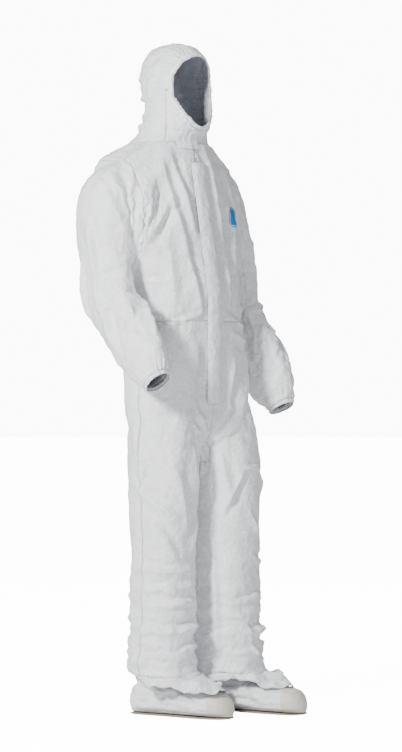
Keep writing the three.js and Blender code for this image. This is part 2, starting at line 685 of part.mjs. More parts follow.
// The storm flap: a bowed strip, sewn down on the wearer's left.
// Its upper part opens and its lower part stays down.
const FLAP_BOW = [
  [FLAP_SEWN_X, FIT_GAP + 0.6],
  [FLAP_SEWN_X - 5, FLAP_RISE * 0.4],
  [FLAP_SEWN_X - 12, FLAP_RISE * 0.85],
  [FLAP_SEWN_X - 20, FLAP_RISE],
  [0, FLAP_RISE + 0.5],
  [FLAP_FREE_X + 20, FLAP_RISE],
  [FLAP_FREE_X + 11, FLAP_RISE * 0.8],
  [FLAP_FREE_X + 4, FLAP_RISE * 0.5],
  [FLAP_FREE_X, FLAP_RISE * 0.36],
];
const flapSection = FLAP_BOW.map(([x, under]) => [x, under, under + FLAP_THICK]);
add("storm_flap_upper", closureStrip(flapSection, FLAP_TOP_Z, FLAP_SPLIT_Z + half), CLOTH);
add("storm_flap_lower", closureStrip(flapSection, FLAP_SPLIT_Z - half, FLAP_FOOT_Z), CLOTH);

// ---- Waist elastic, size label and badge --------------------------------------------------------
const elasticBand = bodyForm(WALL + FIT_GAP).subtract(bodyForm(2 * WALL + FIT_GAP));
const ELASTIC_HALF = 9;
add(
  "waist_elastic",
  elasticBand
    .intersect(spanZ(WAIST_Z - ELASTIC_HALF, WAIST_Z + ELASTIC_HALF))
    .intersect(spanY(ELASTIC_BACK, FAR)),
  ELASTIC,
);
add(
  "size_label",
  elasticBand.intersect(block([-24, 40, NECK_Z - 68], [24, FAR, NECK_Z - 14])),
  TRIM,
);

function badgeCutter() {
  const outline = new THREE.Shape();
  const corner = 0.42; // the share of each side that the corners take off
  const [w, h] = [BADGE_HALF_WIDTH, BADGE_HALF_HEIGHT];
  const [cutW, cutH] = [w * (1 - corner), h * (1 - corner)];
  const corners = [[w, cutH], [cutW, h], [-cutW, h], [-w, cutH]];
  outline.moveTo(...corners[0]);
  for (const [x, z] of corners.slice(1)) outline.lineTo(x, z);
  for (const [x, z] of corners.map(([x, z]) => [-x, -z])) outline.lineTo(x, z);
  outline.closePath();
  const cutter = new THREE.ExtrudeGeometry(outline, { depth: 200, bevelEnabled: false });
  cutter.rotateX(Math.PI / 2);
  cutter.translate(BADGE_X, -20, BADGE_Z);
  return solidOf(cutter);
}
add("chest_badge", bodyForm(-FIT_GAP - 1).subtract(bodyForm(-FIT_GAP)).intersect(badgeCutter()), BADGE);

// ---- Boots --------------------------------------------------------------------------------------
const bootAt = profile(BOOT);
const BOOT_STEPS = [0, 13, 40, 84, 140, 190, 236, 270, 290, 300];
// The stations are drawn for one length of foot and stretch with it.
const BOOT_STRETCH = (FOOT_BACK + FOOT_FRONT) / BOOT.at(-1)[0];

// The foot's form in its own frame: +Y is behind, the ankle's axis is at the origin.
function footForm(grow) {
  const rings = BOOT_STEPS.map((along, i) => {
    const [half, height] = bootAt(along);
    const end = i === 0 ? -1 : i === BOOT_STEPS.length - 1 ? 1 : 0;
    const middle = vec(0, FOOT_BACK - along * BOOT_STRETCH - end * grow, SOLE_THICK + FIT_GAP + height / 2);
    const tall = height / 2 + grow;
    const points = ring(middle, ACROSS, UP, half + grow, tall, tall, FOOT_POWER, FOOT_SEGMENTS);
    const floor = SOLE_THICK + FIT_GAP - grow;
    return points.map((p) => vec(p.x, p.y, Math.max(p.z, floor)));
  });
  return loft(rings);
}
function ankleForm(grow) {
  const rings = [
    [40, 40, 58],
    [90, 43, 60],
    [130, 47, 56],
    [BOOT_TOP_Z - BOOT_BAND, 50, 56],
    [BOOT_TOP_Z + 4, 50, 56],
  ].map(([z, wide, deep]) =>
    ring(vec(0, -4, z), ACROSS, DEEP, wide + grow, deep + grow, deep + grow, ROUND_POWER, FOOT_SEGMENTS),
  );
  return loft(rings);
}
const bootForm = (grow) => footForm(grow).add(ankleForm(grow));

// The sole's outline follows the foot's widest line, drawn as one smooth closed curve.
function soleSolid() {
  const side = BOOT_STEPS.map((along) => vec(bootAt(along)[0] * 0.93, FOOT_BACK - along * BOOT_STRETCH, 0));
  const other = [...side].reverse().map((p) => vec(-p.x, p.y, 0));
  const curve = new THREE.CatmullRomCurve3([...side, ...other], true, "centripetal");
  const loop = curve.getPoints(52).slice(0, -1);
  const outline = new THREE.Shape(loop.map((p) => new THREE.Vector2(p.x, p.y)));
  return solidOf(new THREE.ExtrudeGeometry(outline, { depth: SOLE_THICK, bevelEnabled: false }));
}

for (const [name, place] of [["right", RIGHT_FOOT], ["left", LEFT_FOOT]]) {
  const inPlace = (solid) => {
    const geometry = geometryOf(solid);
    geometry.rotateZ(rad(FOOT_TURN));
    geometry.translate(place.x, -place.forward, 0);
    return solidOf(geometry);
  };
  const walls = bootForm(0).subtract(bootForm(-WALL));
  const toe = spanY(-FAR, TOE_CAP_LENGTH - FOOT_FRONT);
  add(`${name}_boot_upper`, inPlace(walls.intersect(spanZ(0, BOOT_TOP_Z - BOOT_BAND - half))), CLOTH);
  const hemZone = spanZ(BOOT_TOP_Z - BOOT_BAND + half, BOOT_TOP_Z);
  add(`${name}_boot_top_hem`, inPlace(walls.intersect(hemZone)), TRIM);
  const band = ankleForm(-WALL - FIT_GAP).subtract(ankleForm(-2 * WALL));
  const bandZone = spanZ(BOOT_TOP_Z - BOOT_BAND + 3, BOOT_TOP_Z - 3);
  add(`${name}_boot_elastic`, inPlace(band.intersect(bandZone)), ELASTIC);
  add(`${name}_boot_sole`, inPlace(soleSolid()), SOLE);
  const cap = footForm(FIT_GAP + TOE_CAP_THICK).subtract(footForm(FIT_GAP)).intersect(toe);
  add(`${name}_toe_cap`, inPlace(cap.intersect(spanZ(SOLE_THICK + FIT_GAP, FAR))), SOLE);
}

// ---- Trouser hems: the leg's end spreads forward over the instep ---------------------------------
const HEM_ROWS = [
  // drop below the leg's end, shift ahead, growth in front, behind and sideways, droop of the back edge
  [0, 0, 0, 0, 0, 0],
  [10, 8, 24, 0, 1, 6],
  [22, 16, 54, -8, 0, 14],
  [34, 20, 72, -12, -4, 20],
];
function hemForm(leg, inset, lower) {
  const turn = rad(FOOT_TURN);
  const ahead = vec(Math.sin(turn), -Math.cos(turn), 0);
  const [out, , half, deep] = legAt(HEM_Z);
  const [wide, depth] = [half * leg.full, deep * leg.full];
  const rings = HEM_ROWS.map(([drop, shift, front, back, side, droop], i) => {
    const share = i / (HEM_ROWS.length - 1);
    const top = i === 0 ? HEM_Z - SEAM_GAP + (inset > 0 ? 0.3 : 0) : HEM_Z - drop - lower;
    const turned = turn * Math.min(1, share * 2);
    const across = vec(Math.cos(turned), Math.sin(turned), 0);
    const behind = vec(-Math.sin(turned), Math.cos(turned), 0);
    const centre = vec(leg.side * out, -leg.forward, top).addScaledVector(ahead, shift);
    const power = lerp(LEG_POWER, ROUND_POWER, share);
    const grown = [wide + side, depth + front, depth + back].map((size) => size - inset);
    const points = ring(centre, across, behind, ...grown, power, LEG_SEGMENTS);
    const sag = (p) => (droop * (1 - p.clone().sub(centre).dot(ahead) / depth)) / 2;
    return points.map((p) => vec(p.x, p.y, p.z + sag(p)));
  });
  return loft(rings);
}
for (const [name, leg] of [["right", RIGHT_LEG], ["left", LEFT_LEG]]) {
  const outer = hemForm(leg, 0, 0);
  const inner = hemForm(leg, WALL, WALL);
  add(`${name}_trouser_hem`, outer.subtract(inner).intersect(spanZ(-FAR, HEM_Z - SEAM_GAP)), CLOTH);
}

// ---- Stand the suit with its box's bottom centre at the origin -----------------------------------
const bounds = new THREE.Box3().setFromObject(suit);
const middle = bounds.getCenter(vec(0, 0, 0));
suit.position.set(-middle.x, -middle.y, -bounds.min.z);

export default suit;
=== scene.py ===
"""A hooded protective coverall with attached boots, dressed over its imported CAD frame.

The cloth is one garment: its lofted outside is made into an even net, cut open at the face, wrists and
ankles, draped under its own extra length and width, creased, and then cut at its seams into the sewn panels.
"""

import logging
import math
from dataclasses import dataclass, field
from enum import Enum
from typing import Callable, Iterable, Sequence

import bmesh
import bpy
import numpy as np
from mathutils import Matrix, Vector, kdtree, noise
from mathutils.bvhtree import BVHTree


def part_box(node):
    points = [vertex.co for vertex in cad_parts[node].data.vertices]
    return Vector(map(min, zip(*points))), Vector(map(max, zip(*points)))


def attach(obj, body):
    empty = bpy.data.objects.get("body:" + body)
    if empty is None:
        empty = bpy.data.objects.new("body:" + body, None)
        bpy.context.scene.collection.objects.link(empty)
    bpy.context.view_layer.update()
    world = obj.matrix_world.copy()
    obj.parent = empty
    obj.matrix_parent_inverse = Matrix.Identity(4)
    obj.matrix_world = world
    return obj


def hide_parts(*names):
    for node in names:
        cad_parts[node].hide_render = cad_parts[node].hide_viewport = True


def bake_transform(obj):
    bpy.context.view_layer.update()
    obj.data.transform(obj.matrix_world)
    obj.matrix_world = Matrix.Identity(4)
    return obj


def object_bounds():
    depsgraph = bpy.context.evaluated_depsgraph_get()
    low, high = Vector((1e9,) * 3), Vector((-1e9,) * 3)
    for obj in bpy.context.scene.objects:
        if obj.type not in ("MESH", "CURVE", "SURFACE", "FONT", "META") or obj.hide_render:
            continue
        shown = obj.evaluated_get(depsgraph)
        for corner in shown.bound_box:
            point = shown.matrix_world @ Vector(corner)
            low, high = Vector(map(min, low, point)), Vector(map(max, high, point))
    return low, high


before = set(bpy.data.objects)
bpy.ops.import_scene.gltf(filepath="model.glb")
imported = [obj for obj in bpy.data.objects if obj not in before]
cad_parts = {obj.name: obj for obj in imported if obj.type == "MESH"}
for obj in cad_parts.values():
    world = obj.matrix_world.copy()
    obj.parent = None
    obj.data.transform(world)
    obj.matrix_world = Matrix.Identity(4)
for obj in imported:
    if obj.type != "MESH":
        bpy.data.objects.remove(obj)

logging.basicConfig(level=logging.INFO, format="%(message)s")
log = logging.getLogger("suit")

CAD_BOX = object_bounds()
SUIT, HOOD, FLAP = "suit", "hood", "flap"

Array = np.ndarray


# ---------------------------------------------------------------------------------------------
# Where things are


def frame_origin() -> Vector:
    """Find the wearer's middle at the floor in the row frame.

    Returns:
        The point that the garment's own sizes are counted from.
    """
    left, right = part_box("left_back_bodice"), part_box("right_back_bodice")
    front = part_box("left_front_bodice")
    across = (left[0][0] + right[1][0]) / 2
    seam = (left[0][1] + front[1][1]) / 2
    return Vector((across, seam - SIDE_SEAM, 0.0))


SIDE_SEAM = -0.016
LEG_SEAM = -0.084
NO_PANEL = "open"
CHEEK_SEAM = -0.070
CROWN_SEAM = 0.034
WAIST = 1.075
GUSSET_HALF = 0.046
GUSSET_DEEP = 0.062
GUSSET_FOOT = 0.690
SLOT_HALF = 0.0075
SLOT_FOOT = 0.852
SLOT_TOP = 1.546
BADGE_PLACE = (0.124, 1.366)


@dataclass(frozen=True)
class Arm:
    """How one sleeve hangs, in metres and degrees."""

    name: str
    side: int
    elbow_forward: float
    elbow_height: float
    pitch: float
    splay: float


@dataclass(frozen=True)
class Leg:
    """Where one trouser leg stands and how full it hangs."""

    name: str
    side: int
    forward: float
    full: float


@dataclass(frozen=True)
class Foot:
    """Where one boot's ankle stands."""

    name: str
    across: float
    forward: float


RIGHT_ARM = Arm("right", -1, 0.024, 1.147, 39.0, 0.0)
LEFT_ARM = Arm("left", 1, 0.026, 1.108, 27.0, 6.0)
RIGHT_LEG = Leg("right", -1, 0.080, 0.98)
LEFT_LEG = Leg("left", 1, 0.119, 1.07)
RIGHT_FOOT = Foot("right", -0.102, 0.050)
LEFT_FOOT = Foot("left", 0.104, 0.128)
FOOT_TURN = math.radians(20.0)
# places along a boot, from the back of its heel
FOOT_STEPS = (
    0.0, 0.006, 0.013, 0.026, 0.04, 0.06, 0.084, 0.11,
    0.14, 0.17, 0.2, 0.23, 0.255, 0.275, 0.29, 0.3,
)


def smooth(low: float, high: float, at: Array | float) -> Array | float:
    """Rise from 0 at low to 1 at high along a smooth curve."""
    t = np.clip((np.asarray(at, dtype=float) - low) / (high - low), 0.0, 1.0)
    return t * t * (3.0 - 2.0 * t)


def through(rows: Sequence[Sequence[float]], at: float) -> Array:
    """Read a table of stations at one place, along smooth curves through its rows.

    Args:
        rows: The stations, each a place and then its values.
        at: The place to read.

    Returns:
        The values there.
    """
    table = np.array(rows, dtype=float)
    x, y = table[:, 0], table[:, 1:]
    slopes = np.gradient(y, x, axis=0)
    i = int(np.clip(np.searchsorted(x, at) - 1, 0, len(x) - 2))
    h = x[i + 1] - x[i]
    t = min(1.0, max(0.0, (at - x[i]) / h))
    a, b = 2 * t**3 - 3 * t**2 + 1, t**3 - 2 * t**2 + t
    c, d = -2 * t**3 + 3 * t**2, t**3 - t**2
    return a * y[i] + b * h * slopes[i] + c * y[i + 1] + d * h * slopes[i + 1]


def ring(
    centre: Array,
    across: Array,
    deep: Array,
    half: float,
    front: float,
    back: float,
    powers: tuple[float, float],
    count: int,
) -> Array:
    """Lay out one closed section of a form.

    Args:
        centre: The section's middle.
        across: Its unit direction sideways.
        deep: Its unit direction from front to back.
        half: Half its width.
        front: Its depth in front of the middle.
        back: Its depth behind the middle.
        powers: How square its front and its back are; 2 is round.
        count: How many points it has.

    Returns:
        The points, count by 3.
    """
    turn = np.arange(count) * (2 * math.pi / count)
    c, s = np.cos(turn), np.sin(turn)
    power = np.where(s < 0, powers[0], powers[1])
    u = half * np.sign(c) * np.abs(c) ** (2 / power)
    v = np.where(s < 0, front, back) * np.sign(s) * np.abs(s) ** (2 / power)
    return centre + np.outer(u, across) + np.outer(v, deep)


X, Y, Z = np.eye(3)


@dataclass
class SuitForm:
    """The garment's outside as lofted forms, in metres from the wearer's middle at the floor."""

    neck: float = 1.568
    hem: float = 0.112
    belly: tuple[float, float] = (1.150, 0.180)
    throat: tuple[float, float] = (1.545, 0.106)
    armhole: float = 0.190
    slant: float = 0.026
    segments: int = 64
    fore_length: float = 0.308
    elbow_out: float = 0.249
    # height, half width, reach of the back
    body_rows: tuple = (
        (0.740, 0.150, 0.004),
        (0.795, 0.189, 0.026),
        (0.850, 0.199, 0.034),
        (0.900, 0.198, 0.035),
        (0.980, 0.186, 0.052),
        (1.075, 0.167, 0.072),
        (1.180, 0.168, 0.094),
        (1.235, 0.183, 0.108),
        (1.290, 0.208, 0.118),
        (1.370, 0.226, 0.124),
        (1.450, 0.226, 0.124),
        (1.500, 0.212, 0.120),
        (1.530, 0.186, 0.114),
        (1.550, 0.150, 0.106),
        (1.568, 0.104, 0.096),
        (1.590, 0.096, 0.094),
    )
    # height, reach of the front's middle
    front_rows: tuple = (
        (0.700, 0.118),
        (0.740, 0.148),
        (0.795, 0.176),
        (0.850, 0.178),
        (1.150, 0.180),
        (1.555, 0.1041),
        (1.568, 0.088),
        (1.608, 0.088),
    )
    # height, forward shift, half width, depth in front, depth behind
    hood_rows: tuple = (
        (1.550, -0.008, 0.118, 0.098, 0.098),
        (1.568, -0.006, 0.104, 0.094, 0.090),
        (1.592, 0.002, 0.097, 0.100, 0.092),
        (1.614, 0.014, 0.091, 0.118, 0.096),
        (1.640, 0.026, 0.087, 0.112, 0.092),
        (1.670, 0.028, 0.087, 0.108, 0.092),
        (1.705, 0.027, 0.090, 0.108, 0.102),
        (1.745, 0.026, 0.091, 0.108, 0.110),
        (1.782, 0.025, 0.086, 0.100, 0.105),
        (1.812, 0.024, 0.074, 0.086, 0.090),
        (1.834, 0.023, 0.053, 0.062, 0.065),
        (1.846, 0.022, 0.025, 0.030, 0.030),
    )
    # height, distance from the middle, share of the foot's offset, half width, half depth
    leg_rows: tuple = (
        (0.090, 0.104, 1.00, 0.096, 0.106),
        (0.130, 0.105, 1.00, 0.092, 0.099),
        (0.220, 0.106, 1.00, 0.085, 0.090),
        (0.330, 0.106, 1.00, 0.082, 0.087),
        (0.480, 0.105, 0.95, 0.084, 0.090),
        (0.620, 0.103, 0.80, 0.089, 0.098),
        (0.740, 0.100, 0.55, 0.094, 0.105),
        (0.800, 0.098, 0.38, 0.095, 0.101),
        (0.850, 0.096, 0.20, 0.094, 0.094),
        (0.900, 0.092, 0.10, 0.086, 0.084),
    )
    # distance out, forward, height, outward tilt, forward pitch, half width, half depth
    upper_sleeve_rows: tuple = (
        (0.178, -0.020, 1.392, 90, 0, 0.134, 0.098),
        (0.206, -0.021, 1.378, 64, 0, 0.116, 0.095),
        (0.226, -0.018, 1.318, 34, 0, 0.084, 0.091),
        (0.237, -0.002, 1.240, 10, 3, 0.056, 0.087),
    )
    # distance from the elbow, half width, half depth
    fore_sleeve_rows: tuple = (
        (0.000, 0.050, 0.087),
        (0.090, 0.050, 0.085),
        (0.190, 0.050, 0.082),
        (0.252, 0.046, 0.069),
        (0.296, 0.034, 0.041),
        (0.308, 0.033, 0.040),
    )
    # drop below the leg's end, shift ahead, growth in front, behind and sideways, droop of the back edge
    hem_rows: tuple = (
        (0.000, 0.000, 0.000, 0.000, 0.000, 0.000),
        (0.010, 0.008, 0.024, 0.000, 0.001, 0.006),
        (0.022, 0.016, 0.054, -0.008, 0.000, 0.014),
        (0.034, 0.020, 0.072, -0.012, -0.004, 0.020),
    )

    def front(self, height: float) -> float:
        """Return how far the front's middle reaches at a height."""
        table = np.array(self.front_rows)
        return float(np.interp(height, table[:, 0], table[:, 1]))

    def body(self, grow: float) -> list[Array]:
        """Lay out the trunk's sections, grown outwards by a distance."""
        rings = []
        for height in np.concatenate([np.arange(0.74, 1.55, 0.03), [1.552, 1.558, 1.568, 1.585]]):
            half, back = through(self.body_rows, height)
            slant = self.slant * smooth(1.4, 1.5, height) * (1 - smooth(1.505, self.neck, height))
            front = self.front(height - slant)
            shoulder = smooth(1.4, 1.52, height) * (1 - smooth(1.552, self.neck, height))
            powers = (3 - 0.8 * shoulder, 3 + 1.5 * shoulder)
            depth = (front + back) / 2 + grow
            centre = np.array([0.0, (back - front) / 2, height])
            level = ring(centre, X, Y, half + grow, depth, depth, powers, self.segments)
            level[:, 2] += np.where(level[:, 1] < 0, level[:, 1] / (front + grow), level[:, 1] / back) * slant
            rings.append(level)
        return rings

    def leg(self, leg: Leg, grow: float) -> list[Array]:
        """Lay out one leg's sections from its spread hem up to the hip."""
        rings = []
        ahead = np.array([math.sin(FOOT_TURN), -math.cos(FOOT_TURN), 0.0])
        out, _, half, deep = through(self.leg_rows, self.hem)
        wide, depth = half * leg.full, deep * leg.full
        for i in reversed(range(1, len(self.hem_rows))):
            drop, shift, front, back, side, droop = self.hem_rows[i]
            share = i / (len(self.hem_rows) - 1)
            turned = FOOT_TURN * min(1.0, share * 2)
            across = np.array([math.cos(turned), math.sin(turned), 0.0])
            behind = np.array([-math.sin(turned), math.cos(turned), 0.0])
            centre = np.array([leg.side * out, -leg.forward, self.hem - drop]) + ahead * shift
            sizes = (wide + side + grow, depth + front + grow, depth + back + grow)
            points = ring(centre, across, behind, *sizes, (2.2 - 0.2 * share,) * 2, self.segments)
            points[:, 2] += droop * (1 - (points - centre) @ ahead / depth) / 2
            rings.append(points)
        for height in (0.112, 0.14, 0.18, 0.24, 0.32, 0.40, 0.48, 0.56, 0.64, 0.70, 0.76, 0.82, 0.87, 0.90):
            out, share, half, deep = through(self.leg_rows, height)
            full = 1 + (leg.full - 1) * share
            centre = np.array([leg.side * out, -(0.076 + (leg.forward - 0.076) * share), height])
            sizes = (half * full + grow, deep * full + grow, deep * full + grow)
            rings.append(ring(centre, X, Y, *sizes, (2.2, 2.2), self.segments))
        return rings

    def arm_line(self, arm: Arm) -> list[tuple[Array, float, float, float, float]]:
        """List one sleeve's stations: middle, tilt, pitch, half width and half depth."""
        stations = [
            (np.array([arm.side * out, -forward, height]), tilt, pitch, wide, deep)
            for out, forward, height, tilt, pitch, wide, deep in self.upper_sleeve_rows
        ]
        elbow = np.array([arm.side * self.elbow_out, -arm.elbow_forward, arm.elbow_height])
        for along, wide, deep in self.fore_sleeve_rows:
            pitch = arm.pitch / 2 if along == 0 else arm.pitch
            stations.append((elbow + self.fore_direction(arm) * along, 0.0, pitch, wide, deep))
        return stations

    @staticmethod
    def fore_direction(arm: Arm) -> Array:
        """Return the direction from the elbow to the wrist."""
        pitch, splay = math.radians(arm.pitch), math.radians(arm.splay)
        return np.array([arm.side * math.sin(splay), -math.sin(pitch), -math.cos(pitch)])

    def wrist(self, arm: Arm) -> Array:
        """Return the middle of one sleeve's end."""
        elbow = np.array([arm.side * self.elbow_out, -arm.elbow_forward, arm.elbow_height])
        return elbow + self.fore_direction(arm) * self.fore_length

    def sleeve(self, arm: Arm, grow: float) -> list[Array]:
        """Lay out one sleeve's sections from inside the shoulder to the wrist."""
        stations = self.arm_line(arm)
        rows = [[i, *centre, *rest] for i, (centre, *rest) in enumerate(stations)]
        rings = []
        for at in np.linspace(0, len(rows) - 1, 4 * (len(rows) - 1) + 1):
            x, y, z, tilt, pitch, wide, deep = through(rows, at)
            t, p = math.radians(tilt), math.radians(pitch)
            along = np.array([arm.side * math.sin(t), -math.sin(p) * math.cos(t), -math.cos(t) * math.cos(p)])
            back = Y - along * (Y @ along)
            back /= np.linalg.norm(back)
            side = np.cross(back, along)
            sizes = (wide + grow, deep + grow, deep + grow)
            rings.append(ring(np.array([x, y, z]), side, back, *sizes, (2.0, 2.0), self.segments))
        return rings

    def hood(self, grow: float) -> list[Array]:
        """Lay out the hood's sections from the neck to the crown."""
        rings = []
        for height in np.concatenate([np.arange(1.555, 1.82, 0.018), [1.826, 1.836, 1.8435]]):
            forward, half, front, back = through(self.hood_rows, height)
            lift = min(grow, 0.0) if height > 1.7 else 0.0
            centre = np.array([0.0, -forward, height + lift])
            sizes = (half + grow, front + grow, back + grow)
            rings.append(ring(centre, X, Y, *sizes, (2.0, 2.0), self.segments))
        return rings


@dataclass
class FaceOpening:
    """The egg-shaped opening of the hood, seen from the front."""

    height: float = 1.707
    half_width: float = 0.073
    half_height: float = 0.096
    egg: float = 0.16

    def reach(self, points: Array) -> Array:
        """Return how far out each point is from the middle: 1 on the edge, less inside."""
        z = (points[:, 2] - self.height) / self.half_height
        turn = np.arctan2(z, points[:, 0] / self.half_width)
        x = points[:, 0] / (self.half_width * (1 + self.egg * np.sin(turn)))
        return np.sqrt(x * x + z * z)

    def turn(self, points: Array) -> Array:
        """Return each point's angle about the opening's middle."""
        return np.arctan2((points[:, 2] - self.height) / self.half_height, points[:, 0] / self.half_width)


# ---------------------------------------------------------------------------------------------
# Meshes


def deselect() -> None:
    """Leave nothing selected."""
    bpy.ops.object.select_all(action="DESELECT")


def activate(piece: bpy.types.Object) -> None:
    """Select one object alone and make it the active one."""
    deselect()
    piece.select_set(True)
    bpy.context.view_layer.objects.active = piece


def mesh_piece(name: str, points: Array, faces: Iterable[Sequence[int]]) -> bpy.types.Object:
    """Make an object from points and faces."""
    mesh = bpy.data.meshes.new(name)
    mesh.from_pydata([tuple(p) for p in points], [], [tuple(f) for f in faces])
    mesh.validate()
    piece = bpy.data.objects.new(name, mesh)
    bpy.context.scene.collection.objects.link(piece)
    return piece


def points_of(piece: bpy.types.Object) -> Array:
    """Read an object's vertices, n by 3."""
    flat = np.empty(len(piece.data.vertices) * 3)
    piece.data.vertices.foreach_get("co", flat)
    return flat.reshape(-1, 3)


def normals_of(piece: bpy.types.Object) -> Array:
    """Read an object's vertex normals, n by 3."""
    flat = np.empty(len(piece.data.vertices) * 3)
    piece.data.vertex_normals.foreach_get("vector", flat)
    return flat.reshape(-1, 3)


def put_points(piece: bpy.types.Object, points: Array) -> None:
    """Write an object's vertices."""
    piece.data.vertices.foreach_set("co", np.ascontiguousarray(points, dtype=np.float32).ravel())
    piece.data.update()


def lofted(name: str, forms: Sequence[Sequence[Array]]) -> bpy.types.Object:
    """Make one object of several closed lofts that may pass through each other.

    Args:
        name: The object's name.
        forms: The lofts, each a list of sections with the same number of points.

    Returns:
        The object.
    """
    points: list[Array] = []
    faces: list[list[int]] = []
    base = 0
    for rings in forms:
        count = len(rings[0])
        start = len(faces)
        for i, section in enumerate(rings):
            points.append(section)
            if i:
                low, high = base + (i - 1) * count, base + i * count
                for j in range(count):
                    k = (j + 1) % count
                    faces.append([low + j, low + k, high + k, high + j])
        faces.append(list(range(base + count - 1, base - 1, -1)))
        faces.append(list(range(base + (len(rings) - 1) * count, base + len(rings) * count)))
        if rings[-1][:, 2].mean() < rings[0][:, 2].mean():
            faces[start:] = [face[::-1] for face in faces[start:]]
        base += count * len(rings)
    return mesh_piece(name, np.concatenate(points), faces)


def apply_modifier(piece: bpy.types.Object, kind: str, **settings: object) -> None:
    """Add a modifier, set it and apply it."""
    activate(piece)
    modifier = piece.modifiers.new(kind.title(), kind)
    for key, value in settings.items():
        setattr(modifier, key, value)
    bpy.ops.object.modifier_apply(modifier=modifier.name)


def even_net(piece: bpy.types.Object, voxel: float, rounds: int) -> None:
    """Turn overlapping closed lofts into one even net of quads, and smooth its steps."""
    apply_modifier(piece, "REMESH", mode="VOXEL", voxel_size=voxel, adaptivity=0.0)
    if rounds:
        apply_modifier(piece, "SMOOTH", factor=0.5, iterations=rounds)


def keep_values(piece: bpy.types.Object, name: str, values: Array) -> None:
    """Store a number or a vector for each vertex under a name that a material can read."""
    kind = "FLOAT" if values.ndim == 1 else "FLOAT_VECTOR"
    attribute = piece.data.attributes.get(name) or piece.data.attributes.new(name, kind, "POINT")
    attribute.data.foreach_set("value" if values.ndim == 1 else "vector", values.astype(np.float32).ravel())


def read_values(piece: bpy.types.Object, name: str) -> Array:
    """Read back what keep_values stored."""
    attribute = piece.data.attributes[name]
    wide = 3 if attribute.data_type == "FLOAT_VECTOR" else 1
    flat = np.empty(len(piece.data.vertices) * wide, dtype=np.float32)
    attribute.data.foreach_get("vector" if wide == 3 else "value", flat)
    return flat.reshape(-1, 3).astype(float) if wide == 3 else flat.astype(float)


# ---------------------------------------------------------------------------------------------
# The cloth


def edge_points(piece: bpy.types.Object) -> list[int]:
    """List the vertices on a mesh's open edges."""
    net = bmesh.new()
    net.from_mesh(piece.data)
    found = sorted({v.index for e in net.edges if e.is_boundary for v in e.verts})
    net.free()
    return found


def nearest_on_loop(points: Array, loop: Array) -> Array:
    """Return the nearest place on a closed line of points for each given point."""
    ends = np.roll(loop, -1, axis=0)
    best = np.full(len(points), np.inf)
    found = points.copy()
    for a, b in zip(loop, ends):
        d = b - a
        t = np.clip(((points - a) @ d) / max(d @ d, 1e-12), 0, 1)
        q = a + t[:, None] * d
        gap = np.linalg.norm(points - q, axis=1)
        near = gap < best
        best[near] = gap[near]
        found[near] = q[near]
    return found


def delete_faces(piece: bpy.types.Object, gone: Callable[[Array, Array], Array]) -> None:
    """Delete the faces that a test picks.

    Args:
        piece: The object.
        gone: Given the faces' centres and normals, says which go.
    """
    net = bmesh.new()
    net.from_mesh(piece.data)
    centres = np.array([f.calc_center_median() for f in net.faces])
    normals = np.array([f.normal for f in net.faces])
    picked = gone(centres, normals)
    bmesh.ops.delete(net, geom=[f for f, out in zip(list(net.faces), picked) if out], context="FACES")
    net.to_mesh(piece.data)
    net.free()


@dataclass
class Seam:
    """One straight cut through the lofted cloth."""

    point: tuple[float, float, float]
    normal: tuple[float, float, float]
    inside: Callable[[Array], Array]

    def cut(self, piece: bpy.types.Object, snap: float) -> None:
        """Put a row of edges along the seam.

        Args:
            piece: The cloth, before it is draped.
            snap: Vertices nearer than this are moved onto the seam first, so that no sliver is left.
        """
        points = points_of(piece)
        normal = np.array(self.normal, dtype=float)
        normal /= np.linalg.norm(normal)
        away = (points - np.array(self.point)) @ normal
        near = (np.abs(away) < snap) & self.inside(points)
        points[near] -= away[near, None] * normal
        put_points(piece, points)
        net = bmesh.new()
        net.from_mesh(piece.data)
        chosen = self.inside(np.array([f.calc_center_median() for f in net.faces]))
        faces = [f for f, yes in zip(list(net.faces), chosen) if yes]
        edges = list({e for f in faces for e in f.edges})
        verts = list({v for f in faces for v in f.verts})
        plane = {"plane_co": Vector(self.point), "plane_no": Vector(self.normal)}
        bmesh.ops.bisect_plane(net, geom=faces + edges + verts, dist=1e-5, **plane)
        net.to_mesh(piece.data)
        net.free()


